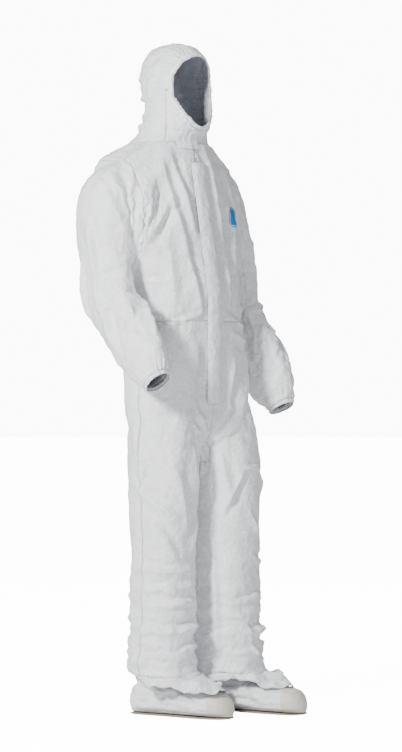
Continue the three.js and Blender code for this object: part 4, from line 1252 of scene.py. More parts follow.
@dataclass
class HoodParts:
    """The hem and elastic round the face, the chin flap and the neck's binding."""

    surface: Surface
    rim: Array
    face: FaceOpening
    form: SuitForm
    finishes: Finishes
    count: int = 300

    def band(self, name: str, reaches: Sequence[float], lifts: Sequence[float]) -> bpy.types.Object:
        """Lay a band round the face opening.

        Args:
            name: The object's name.
            reaches: How far out each row lies; 1 is the edge.
            lifts: How far each row stands off the cloth.
        """
        turns = np.linspace(0, 2 * math.pi, self.count, endpoint=False)
        depths = np.interp(turns, self.rim[:, 0], self.rim[:, 1], period=2 * math.pi)
        rows = []
        for reach, lift in zip(reaches, lifts):
            row = []
            for i, turn in enumerate(turns):
                wide = self.face.half_width * (1 + self.face.egg * math.sin(turn)) * reach
                z = self.face.height + self.face.half_height * math.sin(turn) * reach
                out = np.array([math.cos(turn), -1.0, math.sin(turn)])
                start = np.array([wide * math.cos(turn), depths[i], z])
                row.append(self.surface.nearest(start, out, lift))
                depths[i] = row[-1][1] + 0.0012
            rows.append(np.array(row))
        return grid_piece(name, rows, closed=True)

    def build(self) -> list[bpy.types.Object]:
        """Make the pieces."""
        reaches = (1.0, 1.012, 1.04, 1.07, 1.095, 1.105)
        hem = self.band("face_hem", reaches, (0.0004, 0.0014, 0.0019, 0.0019, 0.0015, 0.0002))
        thicken(hem, 0.0009)
        finish_piece(hem, self.finishes.trim, ["face_hem"])
        elastic = self.band("face_elastic", (1.03, 1.05, 1.07, 1.09), (-0.0022,) * 4)
        thicken(elastic, 0.0008)
        finish_piece(elastic, self.finishes.elastic, ["face_elastic"])
        made = [hem, elastic, self.chin_flap(), self.binding()]
        for piece in made[:3]:
            hood_blend(piece)
        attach(made[3], SUIT)
        return made

    def chin_flap(self) -> bpy.types.Object:
        """Make the flap over the closure's top: a round-cornered patch with upright creases."""
        low, high = 1.549, 1.634
        chin = self.face.height - self.face.half_height - 0.009
        outline = [(-0.054, low), (0.020, low), (0.016, chin - 0.004)]
        outline += bend((0.016, chin - 0.004), (-0.020, chin - 0.002), (-0.036, chin + 0.010))
        outline += bend((-0.036, chin + 0.010), (-0.044, high), (-0.054, high))
        outline += bend((-0.054, high), (-0.068, high), (-0.066, chin))
        rows = []
        shape = np.array(outline)
        for z in np.linspace(low, high - 0.0005, 40):
            left, right = crossings(shape, z)
            row = [self.surface.from_front(x, z, 0.0) for x in np.linspace(left, right, 44)]
            rows.append(np.array(row))
        grid = np.array(rows)
        for _ in range(10):
            inner = (grid[:-2, 1:-1] + grid[2:, 1:-1] + grid[1:-1, :-2] + grid[1:-1, 2:]) / 4
            grid[1:-1, 1:-1, 1] = np.minimum(grid[1:-1, 1:-1, 1], inner[..., 1])
        flat = grid.reshape(-1, 3)
        across = np.tile(np.linspace(0, 1, 44), 40)
        up = np.repeat(np.linspace(0, 1, 40), 44)
        crease = wave(flat, 0.011, 51.0, (1, 1, 5)) * 0.0022
        crease += facets(flat, 0.016, 53.0, (0.8, 1, 2.4)) * 0.0014
        crown = np.sin(np.pi * across) ** 0.6 * np.sin(np.pi * np.clip(up * 0.9 + 0.05, 0, 1)) ** 0.6
        flat[:, 1] -= 0.0022 + (crease + 0.0032) * crown
        flap = grid_piece("chin_flap", flat.reshape(40, 44, 3))
        face_outwards(flap, (0, 0, 1.59))
        thicken(flap, 0.0009)
        finish_piece(flap, self.finishes.cloth, ["chin_flap"])
        return flap

    def binding(self) -> bpy.types.Object:
        """Make the tape sewn over the neck seam, from one side of the throat round the nape to the other."""
        rows = []
        steps = ((0.0, 0.0004), (0.0012, 0.0013), (0.003, 0.0016), (0.0048, 0.0013), (0.006, 0.0004))
        for step, lift in steps:
            z = 1.559 + step
            half, back = through(self.form.body_rows, z)
            row = []
            for turn in np.linspace(-0.45, math.pi + 0.45, 160):
                out = np.array([math.cos(turn), math.sin(turn), 0.0])
                start = np.array([half * out[0], back * out[1], z])
                ends = float(smooth(-0.45, -0.2, turn) * (1 - smooth(math.pi + 0.2, math.pi + 0.45, turn)))
                place = self.surface.nearest(start, out, lift * ends - 0.0012 * (1 - ends))
                row.append(np.array([place[0], place[1], z]))
            rows.append(np.array(row))
        strip = grid_piece("neck_binding", rows)
        face_outwards(strip, (0, 0, 1.562))
        thicken(strip, 0.0006)
        finish_piece(strip, self.finishes.trim, ["neck_binding"])
        return strip


def bend(start: Sequence[float], control: Sequence[float], end: Sequence[float]) -> list[tuple[float, float]]:
    """List points along a quadratic curve, after its start."""
    found = []
    for t in np.linspace(0, 1, 9)[1:]:
        p = [(1 - t) ** 2 * a + 2 * t * (1 - t) * b + t * t * c for a, b, c in zip(start, control, end)]
        found.append((p[0], p[1]))
    return found


def crossings(outline: Array, level: float) -> tuple[float, float]:
    """Return where a level line enters and leaves a closed outline."""
    found = []
    for a, b in zip(outline, np.roll(outline, -1, axis=0)):
        if (a[1] - level) * (b[1] - level) <= 0 and a[1] != b[1]:
            found.append(a[0] + (b[0] - a[0]) * (level - a[1]) / (b[1] - a[1]))
    return min(found), max(found)


@dataclass
class Closure:
    """The zip with its tapes, coils, stops, slider and pull, and the flap over it."""

    form: SuitForm
    finishes: Finishes
    tape_width: float = 0.013
    tape_out: float = -0.00376
    tape_thick: float = 0.0008
    coil_pitch: float = 0.0016
    flap_free: float = -0.029
    flap_sewn: float = 0.027
    flap_top: float = 1.508
    flap_foot: float = 0.850
    flap_bend: tuple[float, float] = (1.120, 1.205)

    def place(self, x: float, out: float, height: float) -> Array:
        """Return a point beside the closure's line: x across, out of the suit, at a height."""
        upper = math.atan2(self.form.belly[1] - self.form.throat[1], self.form.throat[0] - self.form.belly[0])
        lower = math.atan2(0.178 - self.form.belly[1], self.form.belly[0] - 0.850)
        share = float(smooth(self.form.belly[0] - 0.012, self.form.belly[0] + 0.012, height))
        lean = lower + (upper - lower) * share
        forward = self.form.front(height)
        return np.array([x, -forward - out * math.cos(lean), height + out * math.sin(lean)])

    def strip(
        self, name: str, xs: Sequence[float], outs: Sequence[float], low: float, high: float
    ) -> bpy.types.Object:
        """Make a strip along the closure from its section's places across and out."""
        heights = np.linspace(low, high, max(2, int((high - low) / 0.004)))
        rows = [np.array([self.place(x, out, z) for x, out in zip(xs, outs)]) for z in heights]
        return grid_piece(name, rows)

    def tapes(self) -> list[bpy.types.Object]:
        """Make the two woven tapes."""
        made = []
        for name, side in (("right", -1), ("left", 1)):
            xs = side * np.linspace(0.0002, 0.0002 + self.tape_width, 6)
            tape = self.strip(f"zip_{name}_tape", xs, [self.tape_out] * 6, 0.850, 1.545)
            face_outwards(tape, (0, 0, 1.2))
            thicken(tape, self.tape_thick)
            finish_piece(tape, self.finishes.tape, [f"zip_{name}_tape"])
            made.append(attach(tape, SUIT))
        return made

    def coils(self) -> list[bpy.types.Object]:
        """Make the two rows of coil turns."""
        made = []
        for name, side in (("right", -1), ("left", 1)):
            deselect()
            bpy.ops.mesh.primitive_torus_add(
                major_radius=0.00095, minor_radius=0.00034, major_segments=10, minor_segments=5
            )
            turn = bpy.context.object
            turn.scale = (1.22, 1.0, 1.1)
            bpy.ops.object.transform_apply(location=False, rotation=False, scale=True)
            shape = points_of(turn)
            faces = [tuple(f.vertices) for f in turn.data.polygons]
            bpy.data.objects.remove(turn)
            heights = np.arange(0.858, 1.537, self.coil_pitch)
            points, quads = [], []
            for i, z in enumerate(heights):
                middle = self.place(side * 0.0016, -0.0020, z + side * self.coil_pitch / 4)
                tip = self.place(side * 0.0016, -0.0020, z + 0.001)
                up = (tip - middle) / np.linalg.norm(tip - middle)
                out = np.cross(up, X)
                points.append(middle + shape[:, :1] * X + shape[:, 1:2] * out + shape[:, 2:] * up)
                quads += [[i * len(shape) + j for j in face] for face in faces]
            coil = mesh_piece(f"zip_{name}_coil", np.concatenate(points), quads)
            finish_piece(coil, self.finishes.nylon, [f"zip_{name}_coil"], 60)
            made.append(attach(coil, SUIT))
        return made

    def block(self, name: str, node: str, bevel: float) -> bpy.types.Object:
        """Make a small bevelled block that fills a node's box."""
        low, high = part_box(node)
        deselect()
        bpy.ops.mesh.primitive_cube_add(size=1, location=(low + high) / 2)
        piece = bpy.context.object
        piece.name = name
        piece.scale = high - low
        bpy.ops.object.transform_apply(location=True, rotation=False, scale=True)
        apply_modifier(piece, "BEVEL", width=bevel, segments=3)
        return piece

    def stops(self) -> list[bpy.types.Object]:
        """Make the stops at the coils' ends."""
        made = []
        for node in ("zip_right_top_stop", "zip_left_top_stop", "zip_bottom_stop"):
            stop = self.block(node, node, 0.0004)
            stop.data.materials.append(self.finishes.metal)
            bpy.ops.object.shade_smooth_by_angle(angle=math.radians(40))
            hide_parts(node)
            made.append(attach(stop, SUIT))
        return made

    def flap(self) -> bpy.types.Object:
        """Make the storm flap: one bowed strip, sewn down along one edge."""
        bow = (
            (self.flap_sewn + 0.004, 0.0004),
            (self.flap_sewn, 0.0016),
            (self.flap_sewn - 0.0025, 0.0028),
            (self.flap_sewn - 0.005, 0.0052),
            (self.flap_sewn - 0.012, 0.0092),
            (self.flap_sewn - 0.020, 0.0108),
            (0.0, 0.0114),
            (self.flap_free + 0.020, 0.0110),
            (self.flap_free + 0.011, 0.0096),
            (self.flap_free + 0.004, 0.0066),
            (self.flap_free + 0.001, 0.0050),
            (self.flap_free, 0.0042),
        )
        along = np.linspace(0, len(bow) - 1, 40)
        section = np.array([through([[i, *b] for i, b in enumerate(bow)], t) for t in along])
        flap = self.strip("storm_flap", section[:, 0], section[:, 1], self.flap_foot, self.flap_top)
        face_outwards(flap, (0, 0, 1.2))
        points, normals = points_of(flap), normals_of(flap)
        free = 1 - smooth(self.flap_free, self.flap_free + 0.03, points[:, 0])
        sewn = smooth(self.flap_sewn - 0.008, self.flap_sewn, points[:, 0])
        lift = wave(points, 0.055, 61.0, (2, 1, 1)) * 0.0024 * (0.35 + free)
        lift += facets(points, 0.028, 63.0) * 0.0012
        lift += wave(points, 0.016, 65.0, (2, 1, 1)) * 0.0009 * (0.4 + free)
        lift *= 1 - sewn
        lift -= 0.0008 * np.exp(-(((points[:, 0] - self.flap_sewn - 0.001) / 0.0014) ** 2))
        lift -= 0.0006 * np.exp(-(((points[:, 0] - self.flap_free - 0.006) / 0.0010) ** 2))
        lift -= 0.0005 * np.exp(-(((points[:, 2] - self.flap_top + 0.006) / 0.0012) ** 2))
        put_points(flap, points + normals * lift[:, None])
        thicken(flap, 0.0010)
        finish_piece(flap, self.finishes.cloth, ["storm_flap_upper", "storm_flap_lower"])
        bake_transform(flap)
        return flap

    def build(self) -> None:
        """Make the pieces; the slider and the pull are the frame's own solids with softened edges."""
        self.tapes()
        self.coils()
        self.stops()
        self.flap()
        for node in ("zip_slider", "zip_pull"):
            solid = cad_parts[node]
            solid.data.materials.clear()
            solid.data.materials.append(self.finishes.metal)
            modifier = solid.modifiers.new("Edges", "BEVEL")
            modifier.width = 0.00025
            modifier.segments = 2
            modifier.limit_method = "ANGLE"


@dataclass
class Boot:
    """One attached boot: its cloth upper, top hem and elastic, its sole and its toe cap."""

    foot: Foot
    finishes: Finishes
    back: float = 0.068
    front: float = 0.232
    floor: float = 0.0036
    top: float = 0.176
    band: float = 0.016
    cap: float = 0.052
    # distance from the heel, half width, height
    rows: tuple = (
        (0.000, 0.016, 0.062),
        (0.013, 0.033, 0.080),
        (0.056, 0.042, 0.104),
        (0.104, 0.044, 0.104),
        (0.150, 0.049, 0.092),
        (0.206, 0.053, 0.076),
        (0.262, 0.049, 0.064),
        (0.288, 0.036, 0.052),
        (0.300, 0.015, 0.034),
    )
    # height, half width, half depth
    ankle_rows: tuple = (
        (0.040, 0.040, 0.058),
        (0.090, 0.043, 0.060),
        (0.130, 0.047, 0.056),
        (0.160, 0.050, 0.056),
        (0.180, 0.050, 0.056),
    )

    def foot_form(self, grow: float) -> list[Array]:
        """Lay out the foot's sections from heel to toe."""
        rings = []
        for along in FOOT_STEPS:
            half, height = through(self.rows, along)
            middle = np.array([0.0, self.back - along, self.floor + height / 2])
            points = ring(middle, X, Z, half + grow, height / 2 + grow, height / 2 + grow, (2.6, 2.6), 32)
            points[:, 2] = np.maximum(points[:, 2], self.floor - grow)
            rings.append(points)
        return rings

    def ankle_form(self, grow: float) -> list[Array]:
        """Lay out the ankle's sections."""
        rings = []
        for height, half, deep in self.ankle_rows:
            middle = np.array([0.0, -0.004, height])
            rings.append(ring(middle, X, Y, half + grow, deep + grow, deep + grow, (2.0, 2.0), 32))
        return rings

    def place(self, piece: bpy.types.Object) -> None:
        """Turn and move a piece from the foot's own frame to where the foot stands."""
        turn = Matrix.Rotation(FOOT_TURN, 4, "Z")
        piece.data.transform(Matrix.Translation((self.foot.across, -self.foot.forward, 0)) @ turn)

    def sheet_part(
        self, whole: bpy.types.Object, name: str, kept: Callable[[Array], Array], thickness: float
    ) -> bpy.types.Object:
        """Copy some of the boot's faces as a piece of their own and thicken it."""
        part = whole.copy()
        part.data = whole.data.copy()
        part.name = f"{self.foot.name}_{name}"
        bpy.context.scene.collection.objects.link(part)
        delete_faces(part, lambda centres, normals: ~kept(centres))
        thicken(part, abs(thickness), -1.0 if thickness > 0 else 1.0)
        self.place(part)
        return part

    def build(self) -> None:
        """Make the boot's pieces."""
        name = self.foot.name
        whole = lofted("boot", [self.foot_form(0.0)])
        ankle = lofted("ankle", [self.ankle_form(0.0)])
        activate(ankle)
        whole.select_set(True)
        bpy.ops.object.join()
        whole = bpy.context.object
        even_net(whole, 0.0045, 3)
        delete_faces(whole, lambda centres, normals: centres[:, 2] > self.top - 0.001)
        apply_modifier(whole, "SUBSURF", levels=1, render_levels=1)
        points, normals = points_of(whole), normals_of(whole)
        z = points[:, 2]
        seed = 3.0 + self.foot.across * 10
        up = smooth(0.008, 0.03, z)
        ankle_gather = np.exp(-(((z - 0.160) / 0.03) ** 2))
        sides = np.exp(-(((points[:, 1] + 0.05) / 0.06) ** 2))
        lift = facets(points, 0.026, seed, (1, 1.3, 1)) * 0.0034 + facets(points, 0.012, seed + 5) * 0.0012
        lift += wave(points, 0.03, seed + 2, (1.4, 1.4, 0.5)) * 0.0040
        turn = np.arctan2(points[:, 1], points[:, 0])
        lift += Gather(0.0035, 0.030, 30.0).lift(np.abs(z - 0.160), turn, seed) * ankle_gather
        pleats = np.sin(points[:, 1] * 420 + wave(points, 0.04, seed + 7) * 3.0)
        lift += pleats * 0.0011 * sides * np.exp(-(((z - 0.03) / 0.022) ** 2))
        toe = smooth(-0.150, -0.185, points[:, 1])
        seam = np.exp(-((z - 0.0125) / 0.0022) ** 2)
        lift = lift * up * (1 - 0.8 * toe) - 0.0012 * seam
        edge = smooth(self.top - 0.004, self.top, z)
        put_points(whole, points + normals * (lift * (1 - edge))[:, None])
        keep_values(whole, "rest", points)
        # Painted shade along the sole's seam: the boot's cloth finishes darken their colour by these values.
        keep_values(whole, "seam", np.exp(-(((z - 0.0125) / 0.0012) ** 2)))
        low = lambda centres: centres[:, 2] < self.top - self.band
        upper = self.sheet_part(whole, "boot_upper", low, 0.0008)
        finish_piece(upper, self.finishes.cloth, [f"{name}_boot_upper"], 80)
        hem = self.sheet_part(whole, "boot_top_hem", lambda c: c[:, 2] >= self.top - self.band, 0.0014)
        finish_piece(hem, self.finishes.trim, [f"{name}_boot_top_hem"], 80)
        tip = -(self.front - self.cap)
        toe = lambda c: (c[:, 1] < tip) & (c[:, 2] > self.floor + 0.002)
        cap = self.sheet_part(whole, "toe_cap", toe, -0.0012)
        finish_piece(cap, self.finishes.vinyl, [f"{name}_toe_cap"], 50)
        elastic = self.elastic()
        bpy.data.objects.remove(whole)
        for piece in (upper, hem, cap, elastic, self.sole()):
            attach(piece, SUIT)

    def elastic(self) -> bpy.types.Object:
        """Make the elastic inside the boot's top hem."""
        rows = []
        for z in np.linspace(0.163, 0.173, 5):
            rows.append(ring(np.array([0.0, -0.004, z]), X, Y, 0.0465, 0.0525, 0.0525, (2.0, 2.0), 72))
        band = grid_piece(f"{self.foot.name}_boot_elastic", rows, closed=True)
        face_outwards(band, (0, -0.004, 0.168))
        thicken(band, 0.0010)
        self.place(band)
        node = f"{self.foot.name}_boot_elastic"
        finish_piece(band, self.finishes.elastic, [node])
        return band

    def sole(self) -> bpy.types.Object:
        """Make the flat sole: a filled outline, drawn up to its thickness and bevelled."""
        side = [(through(self.rows, a)[0] * 0.93, self.back - a) for a in FOOT_STEPS]
        outline = side + [(-x, y) for x, y in reversed(side)]
        deselect()
        bpy.ops.mesh.primitive_circle_add(vertices=len(outline), radius=0.1, fill_type="NGON")
        sole = bpy.context.object
        sole.name = f"{self.foot.name}_boot_sole"
        turn = np.arctan2(*np.array([(v.co.y, v.co.x) for v in sole.data.vertices]).T)
        order = np.argsort(turn)
        shape = np.array(outline)
        around = np.argsort(np.arctan2(shape[:, 1] + 0.08, shape[:, 0]))
        for i, j in zip(order, around):
            sole.data.vertices[int(i)].co = Vector((shape[j][0], shape[j][1], 0.003))
        face_up = sole.data.polygons[0].normal.z > 0
        if not face_up:
            sole.data.flip_normals()
        apply_modifier(sole, "SOLIDIFY", thickness=0.003, offset=-1.0)
        apply_modifier(sole, "BEVEL", width=0.0006, segments=2, limit_method="ANGLE")
        self.place(sole)
        finish_piece(sole, self.finishes.tread, [f"{self.foot.name}_boot_sole"], 35)
        return sole


@dataclass
class BodyParts:
    """The waist's and wrists' elastics, the size label and the chest badge."""

    surface: Surface
    form: SuitForm
    finishes: Finishes

    def build(self) -> None:
        """Make the pieces."""
        self.waist_elastic()
        for arm, body in ((RIGHT_ARM, "right_arm"), (LEFT_ARM, "left_arm")):
            self.wrist_elastic(arm, body)
        self.size_label()
        self.badge()

    def waist_elastic(self) -> None:
        """Make the band inside the back of the waist."""
        rows = []
        for z in np.linspace(1.066, 1.084, 7):
            half, back = through(self.form.body_rows, z)
            depth = (self.form.front(z) + back) / 2
            whole = ring(
                np.array([0.0, (back - self.form.front(z)) / 2, z]), X, Y, half - 0.010, depth - 0.010,
                depth - 0.010, (3.0, 3.0), 240,
            )
            rows.append(whole[whole[:, 1] > 0.006])
        ends = min(len(row) for row in rows)
        band = grid_piece("waist_elastic", [row[:ends] for row in rows])
        face_outwards(band, (0, 0, 1.075))
        thicken(band, 0.0012)
        finish_piece(band, self.finishes.elastic, ["waist_elastic"])
        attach(band, SUIT)

    def wrist_elastic(self, arm: Arm, body: str) -> None:
        """Make the elastic inside one cuff."""
        along = self.form.fore_direction(arm)
        back = Y - along * (Y @ along)
        back /= np.linalg.norm(back)
        side = np.cross(back, along)
        rows = []
        for step in np.linspace(0.003, 0.009, 4):
            middle = self.form.wrist(arm) - along * step
            rows.append(ring(middle, side, back, 0.0300, 0.0368, 0.0368, (2.0, 2.0), 72))
        band = grid_piece(f"{arm.name}_wrist_elastic", rows, closed=True)
        face_outwards(band, self.form.wrist(arm))
        thicken(band, 0.0010)
        finish_piece(band, self.finishes.elastic, [f"{arm.name}_wrist_elastic"])
        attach(band, body)

    def size_label(self) -> None:
        """Make the blank label that hangs inside the nape."""
        rows = []
        for z in np.linspace(1.500, 1.554, 24):
            row = []
            for x in np.linspace(-0.024, 0.024, 22):
                hit, _, _, _ = self.surface.tree.ray_cast(Vector((x, 0.4, z)), Vector((0, -1, 0)))
                curl = 0.004 * (1 - (z - 1.5) / 0.054) ** 2
                row.append(np.array([x, hit.y - 0.0035 - curl, z]))
            rows.append(np.array(row))
        label = grid_piece("size_label", rows)
        face_outwards(label, (0, 0.4, 1.53))
        thicken(label, 0.0003)
        finish_piece(label, self.finishes.trim, ["size_label"])
        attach(label, SUIT)

    def badge(self) -> None:
        """Make the printed patch: eight-sided, blank, with a pale line inside its edge."""
        wide, high, corner = 0.022, 0.028, 0.42
        rows = []
        count = 36
        for v in np.linspace(-1, 1, count):
            cut = max(0.0, (abs(v) - (1 - corner)) / corner) * corner
            half = wide * (1 - cut)
            across = BADGE_PLACE[0] + half * np.linspace(-1, 1, 30)
            row = [self.surface.from_front(x, BADGE_PLACE[1] + high * v, 0.0009) for x in across]
            rows.append(np.array(row))
        grid = np.array(rows)
        start = grid[..., 1].copy()
        for _ in range(120):
            calm = grid.copy()
            calm[1:-1, :, 1] = (grid[:-2, :, 1] + grid[2:, :, 1]) / 2
            calm[:, 1:-1, 1] = (calm[:, :-2, 1] + calm[:, 2:, 1]) / 2
            grid[..., 1] = np.minimum(0.35 * grid[..., 1] + 0.65 * calm[..., 1], start)
        patch = grid_piece("chest_badge", grid)
        face_outwards(patch, (0, 0, 1.366))
        u = np.tile(np.linspace(-1, 1, 30), count)
        v = np.repeat(np.linspace(-1, 1, count), 30)
        keep_values(patch, "across", u)
        keep_values(patch, "up", v)
        thicken(patch, 0.0004)
        finish_piece(patch, self.finishes.badge, ["chest_badge"])
        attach(patch, SUIT)


# ---------------------------------------------------------------------------------------------
# Finishes


def linear(code: str) -> tuple[float, float, float, float]:
    """Turn an sRGB hex code into the linear colour that shaders read."""
    parts = [int(code[i : i + 2], 16) / 255 for i in (0, 2, 4)]
    return (*[c / 12.92 if c <= 0.04045 else ((c + 0.055) / 1.055) ** 2.4 for c in parts], 1.0)


def add_node(material: bpy.types.Material, kind: str, **inputs: object) -> bpy.types.Node:
    """Add a shader node, and set or link its inputs.

    Args:
        material: The material to add it to.
        kind: The node's type.
        inputs: Values or sockets by input name, with _ for a space; a name in lower case is a property.
    """
    node = material.node_tree.nodes.new(kind)
    for key, value in inputs.items():
        if key[0].islower():
            setattr(node, key, value)
            continue
        name = key.replace("_", " ")
        socket = node.inputs[int(name[1:])] if name[0] == "I" and name[1:].isdigit() else node.inputs[name]
        if isinstance(value, bpy.types.NodeSocket):
            material.node_tree.links.new(value, socket)
        else:
            socket.default_value = value
    return node


@dataclass(frozen=True)
class Cloth:
    """Flash-spun polyethylene sheet: matt white fibres bonded flat, finely creased from folding; its colour
    is darkened along the seams as painted shade.
    """

    name: str
    colour: str = "F4F5F6"
    shade: str = "E6E8EC"
    rough: float = 0.52
    crinkle: float = 0.9
    glow: float = 0.10

    def build(self) -> bpy.types.Material:
        """Make the material."""
        material, shader = new_material(self.name)
        place = add_node(material, "ShaderNodeTexCoord").outputs["Object"]
        warp = add_node(material, "ShaderNodeTexNoise", Vector=place, Scale=38.0, Detail=3.0)
        shifted = add_node(
            material, "ShaderNodeMix", data_type="VECTOR", Factor=0.045, A=place, B=warp.outputs["Color"]
        )
        moved = shifted.outputs["Result"]
        creases = []
        for scale, low, high in ((62.0, 0.0, 0.10), (150.0, 0.0, 0.14)):
            cells = add_node(
                material, "ShaderNodeTexVoronoi", feature="DISTANCE_TO_EDGE", Vector=moved, Scale=scale
            )
            ramp = add_node(material, "ShaderNodeMapRange", Value=cells.outputs["Distance"])
            ramp.inputs["From Min"].default_value = low
            ramp.inputs["From Max"].default_value = high
            creases.append(ramp.outputs["Result"])
        tilt = add_node(material, "ShaderNodeTexVoronoi", feature="F1", Vector=moved, Scale=46.0)
        fibres = add_node(
            material, "ShaderNodeTexNoise", Vector=place, Scale=900.0, Detail=2.0, Distortion=1.4
        )
        first = add_node(
            material,
            "ShaderNodeBump",
            Strength=0.9 * self.crinkle,
            Distance=0.0030,
            Height=tilt.outputs["Distance"],
        )
        second = add_node(
            material,
            "ShaderNodeBump",
            Strength=0.6 * self.crinkle,
            Distance=0.0010,
            Height=creases[0],
            Normal=first.outputs["Normal"],
        )
        third = add_node(
            material,
            "ShaderNodeBump",
            Strength=0.4 * self.crinkle,
            Distance=0.0005,
            Height=creases[1],
            Normal=second.outputs["Normal"],
        )
        last = add_node(
            material,
            "ShaderNodeBump",
            Strength=0.20,
            Distance=0.0001,
            Height=fibres.outputs["Fac"],
            Normal=third.outputs["Normal"],
        )
        cloud = add_node(material, "ShaderNodeTexNoise", Vector=place, Scale=14.0, Detail=4.0)
        seam = add_node(material, "ShaderNodeAttribute", attribute_name="seam", attribute_type="GEOMETRY")
        colour = add_node(
            material,
            "ShaderNodeMix",
            data_type="RGBA",
            Factor=cloud.outputs["Fac"],
            I6=linear(self.colour),
            I7=linear(self.shade),
        )
        # Painted shade: the base colour is multiplied down to 0.84 along the seams, standing in for the shade
        # in their pressed-in grooves.
        near = add_node(material, "ShaderNodeMapRange", Value=seam.outputs["Fac"])
        near.inputs["To Min"].default_value = 1.0
        near.inputs["To Max"].default_value = 0.84
        painted_seam_shade = add_node(
            material,
            "ShaderNodeMix",
            data_type="RGBA",
            blend_type="MULTIPLY",
            Factor=1.0,
            I6=colour.outputs["Result"],
            I7=near.outputs["Result"],
        )
        link(material, painted_seam_shade.outputs[2], shader.inputs["Base Color"])
        link(material, last.outputs["Normal"], shader.inputs["Normal"])
        shader.inputs["Roughness"].default_value = self.rough
        shader.inputs["Sheen Weight"].default_value = 0.12
        shader.inputs["Sheen Roughness"].default_value = 0.5
        shader.inputs["Subsurface Weight"].default_value = self.glow
        shader.inputs["Subsurface Radius"].default_value = (0.004, 0.004, 0.004)
        shader.inputs["Subsurface Scale"].default_value = 1.0
        return material


def new_material(name: str) -> tuple[bpy.types.Material, bpy.types.Node]:
    """Make an empty material and find its main shader."""
    material = bpy.data.materials.new(name)
    material.use_nodes = True
    return material, material.node_tree.nodes["Principled BSDF"]


def link(material: bpy.types.Material, source: bpy.types.NodeSocket, target: bpy.types.NodeSocket) -> None:
    """Join two sockets."""
    material.node_tree.links.new(source, target)


@dataclass(frozen=True)
class Plain:
    """A finish of one colour with a fine grain."""

    name: str
    colour: str
    rough: float
    grain: float = 600.0
    depth: float = 0.00012
    metallic: float = 0.0
    stretch: tuple[float, float, float] = (1.0, 1.0, 1.0)

    def build(self) -> bpy.types.Material:
        """Make the material."""
        material, shader = new_material(self.name)
        place = add_node(material, "ShaderNodeTexCoord").outputs["Object"]
        scaled = add_node(material, "ShaderNodeMapping", Vector=place, Scale=self.stretch)
        grain = add_node(
            material, "ShaderNodeTexNoise", Vector=scaled.outputs["Vector"], Scale=self.grain, Detail=2.0
        )
        bump = add_node(
            material, "ShaderNodeBump", Strength=0.4, Distance=self.depth, Height=grain.outputs["Fac"]
        )
        link(material, bump.outputs["Normal"], shader.inputs["Normal"])
        shader.inputs["Base Color"].default_value = linear(self.colour)
        shader.inputs["Roughness"].default_value = self.rough
        shader.inputs["Metallic"].default_value = self.metallic
        return material


@dataclass(frozen=True)
class Printed:
    """Printed woven patch: a field of one colour with a pale line inside its edge."""

    name: str
    field_colour: str = "0B6DB7"
    line_colour: str = "DCE9F4"

    def build(self) -> bpy.types.Material:
        """Make the material."""
        material, shader = new_material(self.name)
        across = add_node(material, "ShaderNodeAttribute", attribute_name="across").outputs["Fac"]
        up = add_node(material, "ShaderNodeAttribute", attribute_name="up").outputs["Fac"]
        sides = add_node(material, "ShaderNodeMath", operation="ABSOLUTE", I0=across).outputs[0]
        ends = add_node(material, "ShaderNodeMath", operation="ABSOLUTE", I0=up).outputs[0]
        edge = add_node(material, "ShaderNodeMath", operation="MAXIMUM", I0=sides, I1=ends).outputs[0]
        line = add_node(material, "ShaderNodeMath", operation="COMPARE", I0=edge, I1=0.86, I2=0.028)
        colour = add_node(
            material,
            "ShaderNodeMix",
            data_type="RGBA",
            Factor=line.outputs[0],
            I6=linear(self.field_colour),
            I7=linear(self.line_colour),
        )
        link(material, colour.outputs[2], shader.inputs["Base Color"])
        shader.inputs["Roughness"].default_value = 0.45
        return material


def all_finishes() -> Finishes:
    """Make every material once."""
    return Finishes(
        cloth=Cloth("flash_spun_polyethylene_sheet").build(),
        # Painted shade: the panels' inner faces get a flat grey for the shade inside the hood and sleeves;
        # the real sheet is white on both sides.
        inside=Plain("polyethylene_sheet_inside_in_shade", "BDBFC9", 0.7).build(),
        trim=Cloth("folded_polyethylene_hem", colour="F6F6F6", shade="ECEDEF", crinkle=0.5).build(),
        elastic=Plain("braided_polyester_elastic", "DEDEDA", 0.7, 900.0, 0.0002, stretch=(1, 1, 4)).build(),
        tape=Plain("woven_polyester_zip_tape", "EFEFEC", 0.75, 1100.0, 0.00015).build(),
        nylon=Plain("moulded_nylon_coil", "ECECE8", 0.35, 300.0, 0.00002).build(),
        metal=Plain("die_cast_zinc_painted_white", "DDDDDA", 0.32, 400.0, 0.00003).build(),
        vinyl=Plain("matt_vinyl_coated_sheet", "CFCBC2", 0.55, 700.0, 0.0002).build(),
        tread=Plain("calendered_vinyl_sole", "8E8577", 0.6, 500.0, 0.0003).build(),
        badge=Printed("printed_polyester_patch").build(),
    )


# ---------------------------------------------------------------------------------------------
# The whole


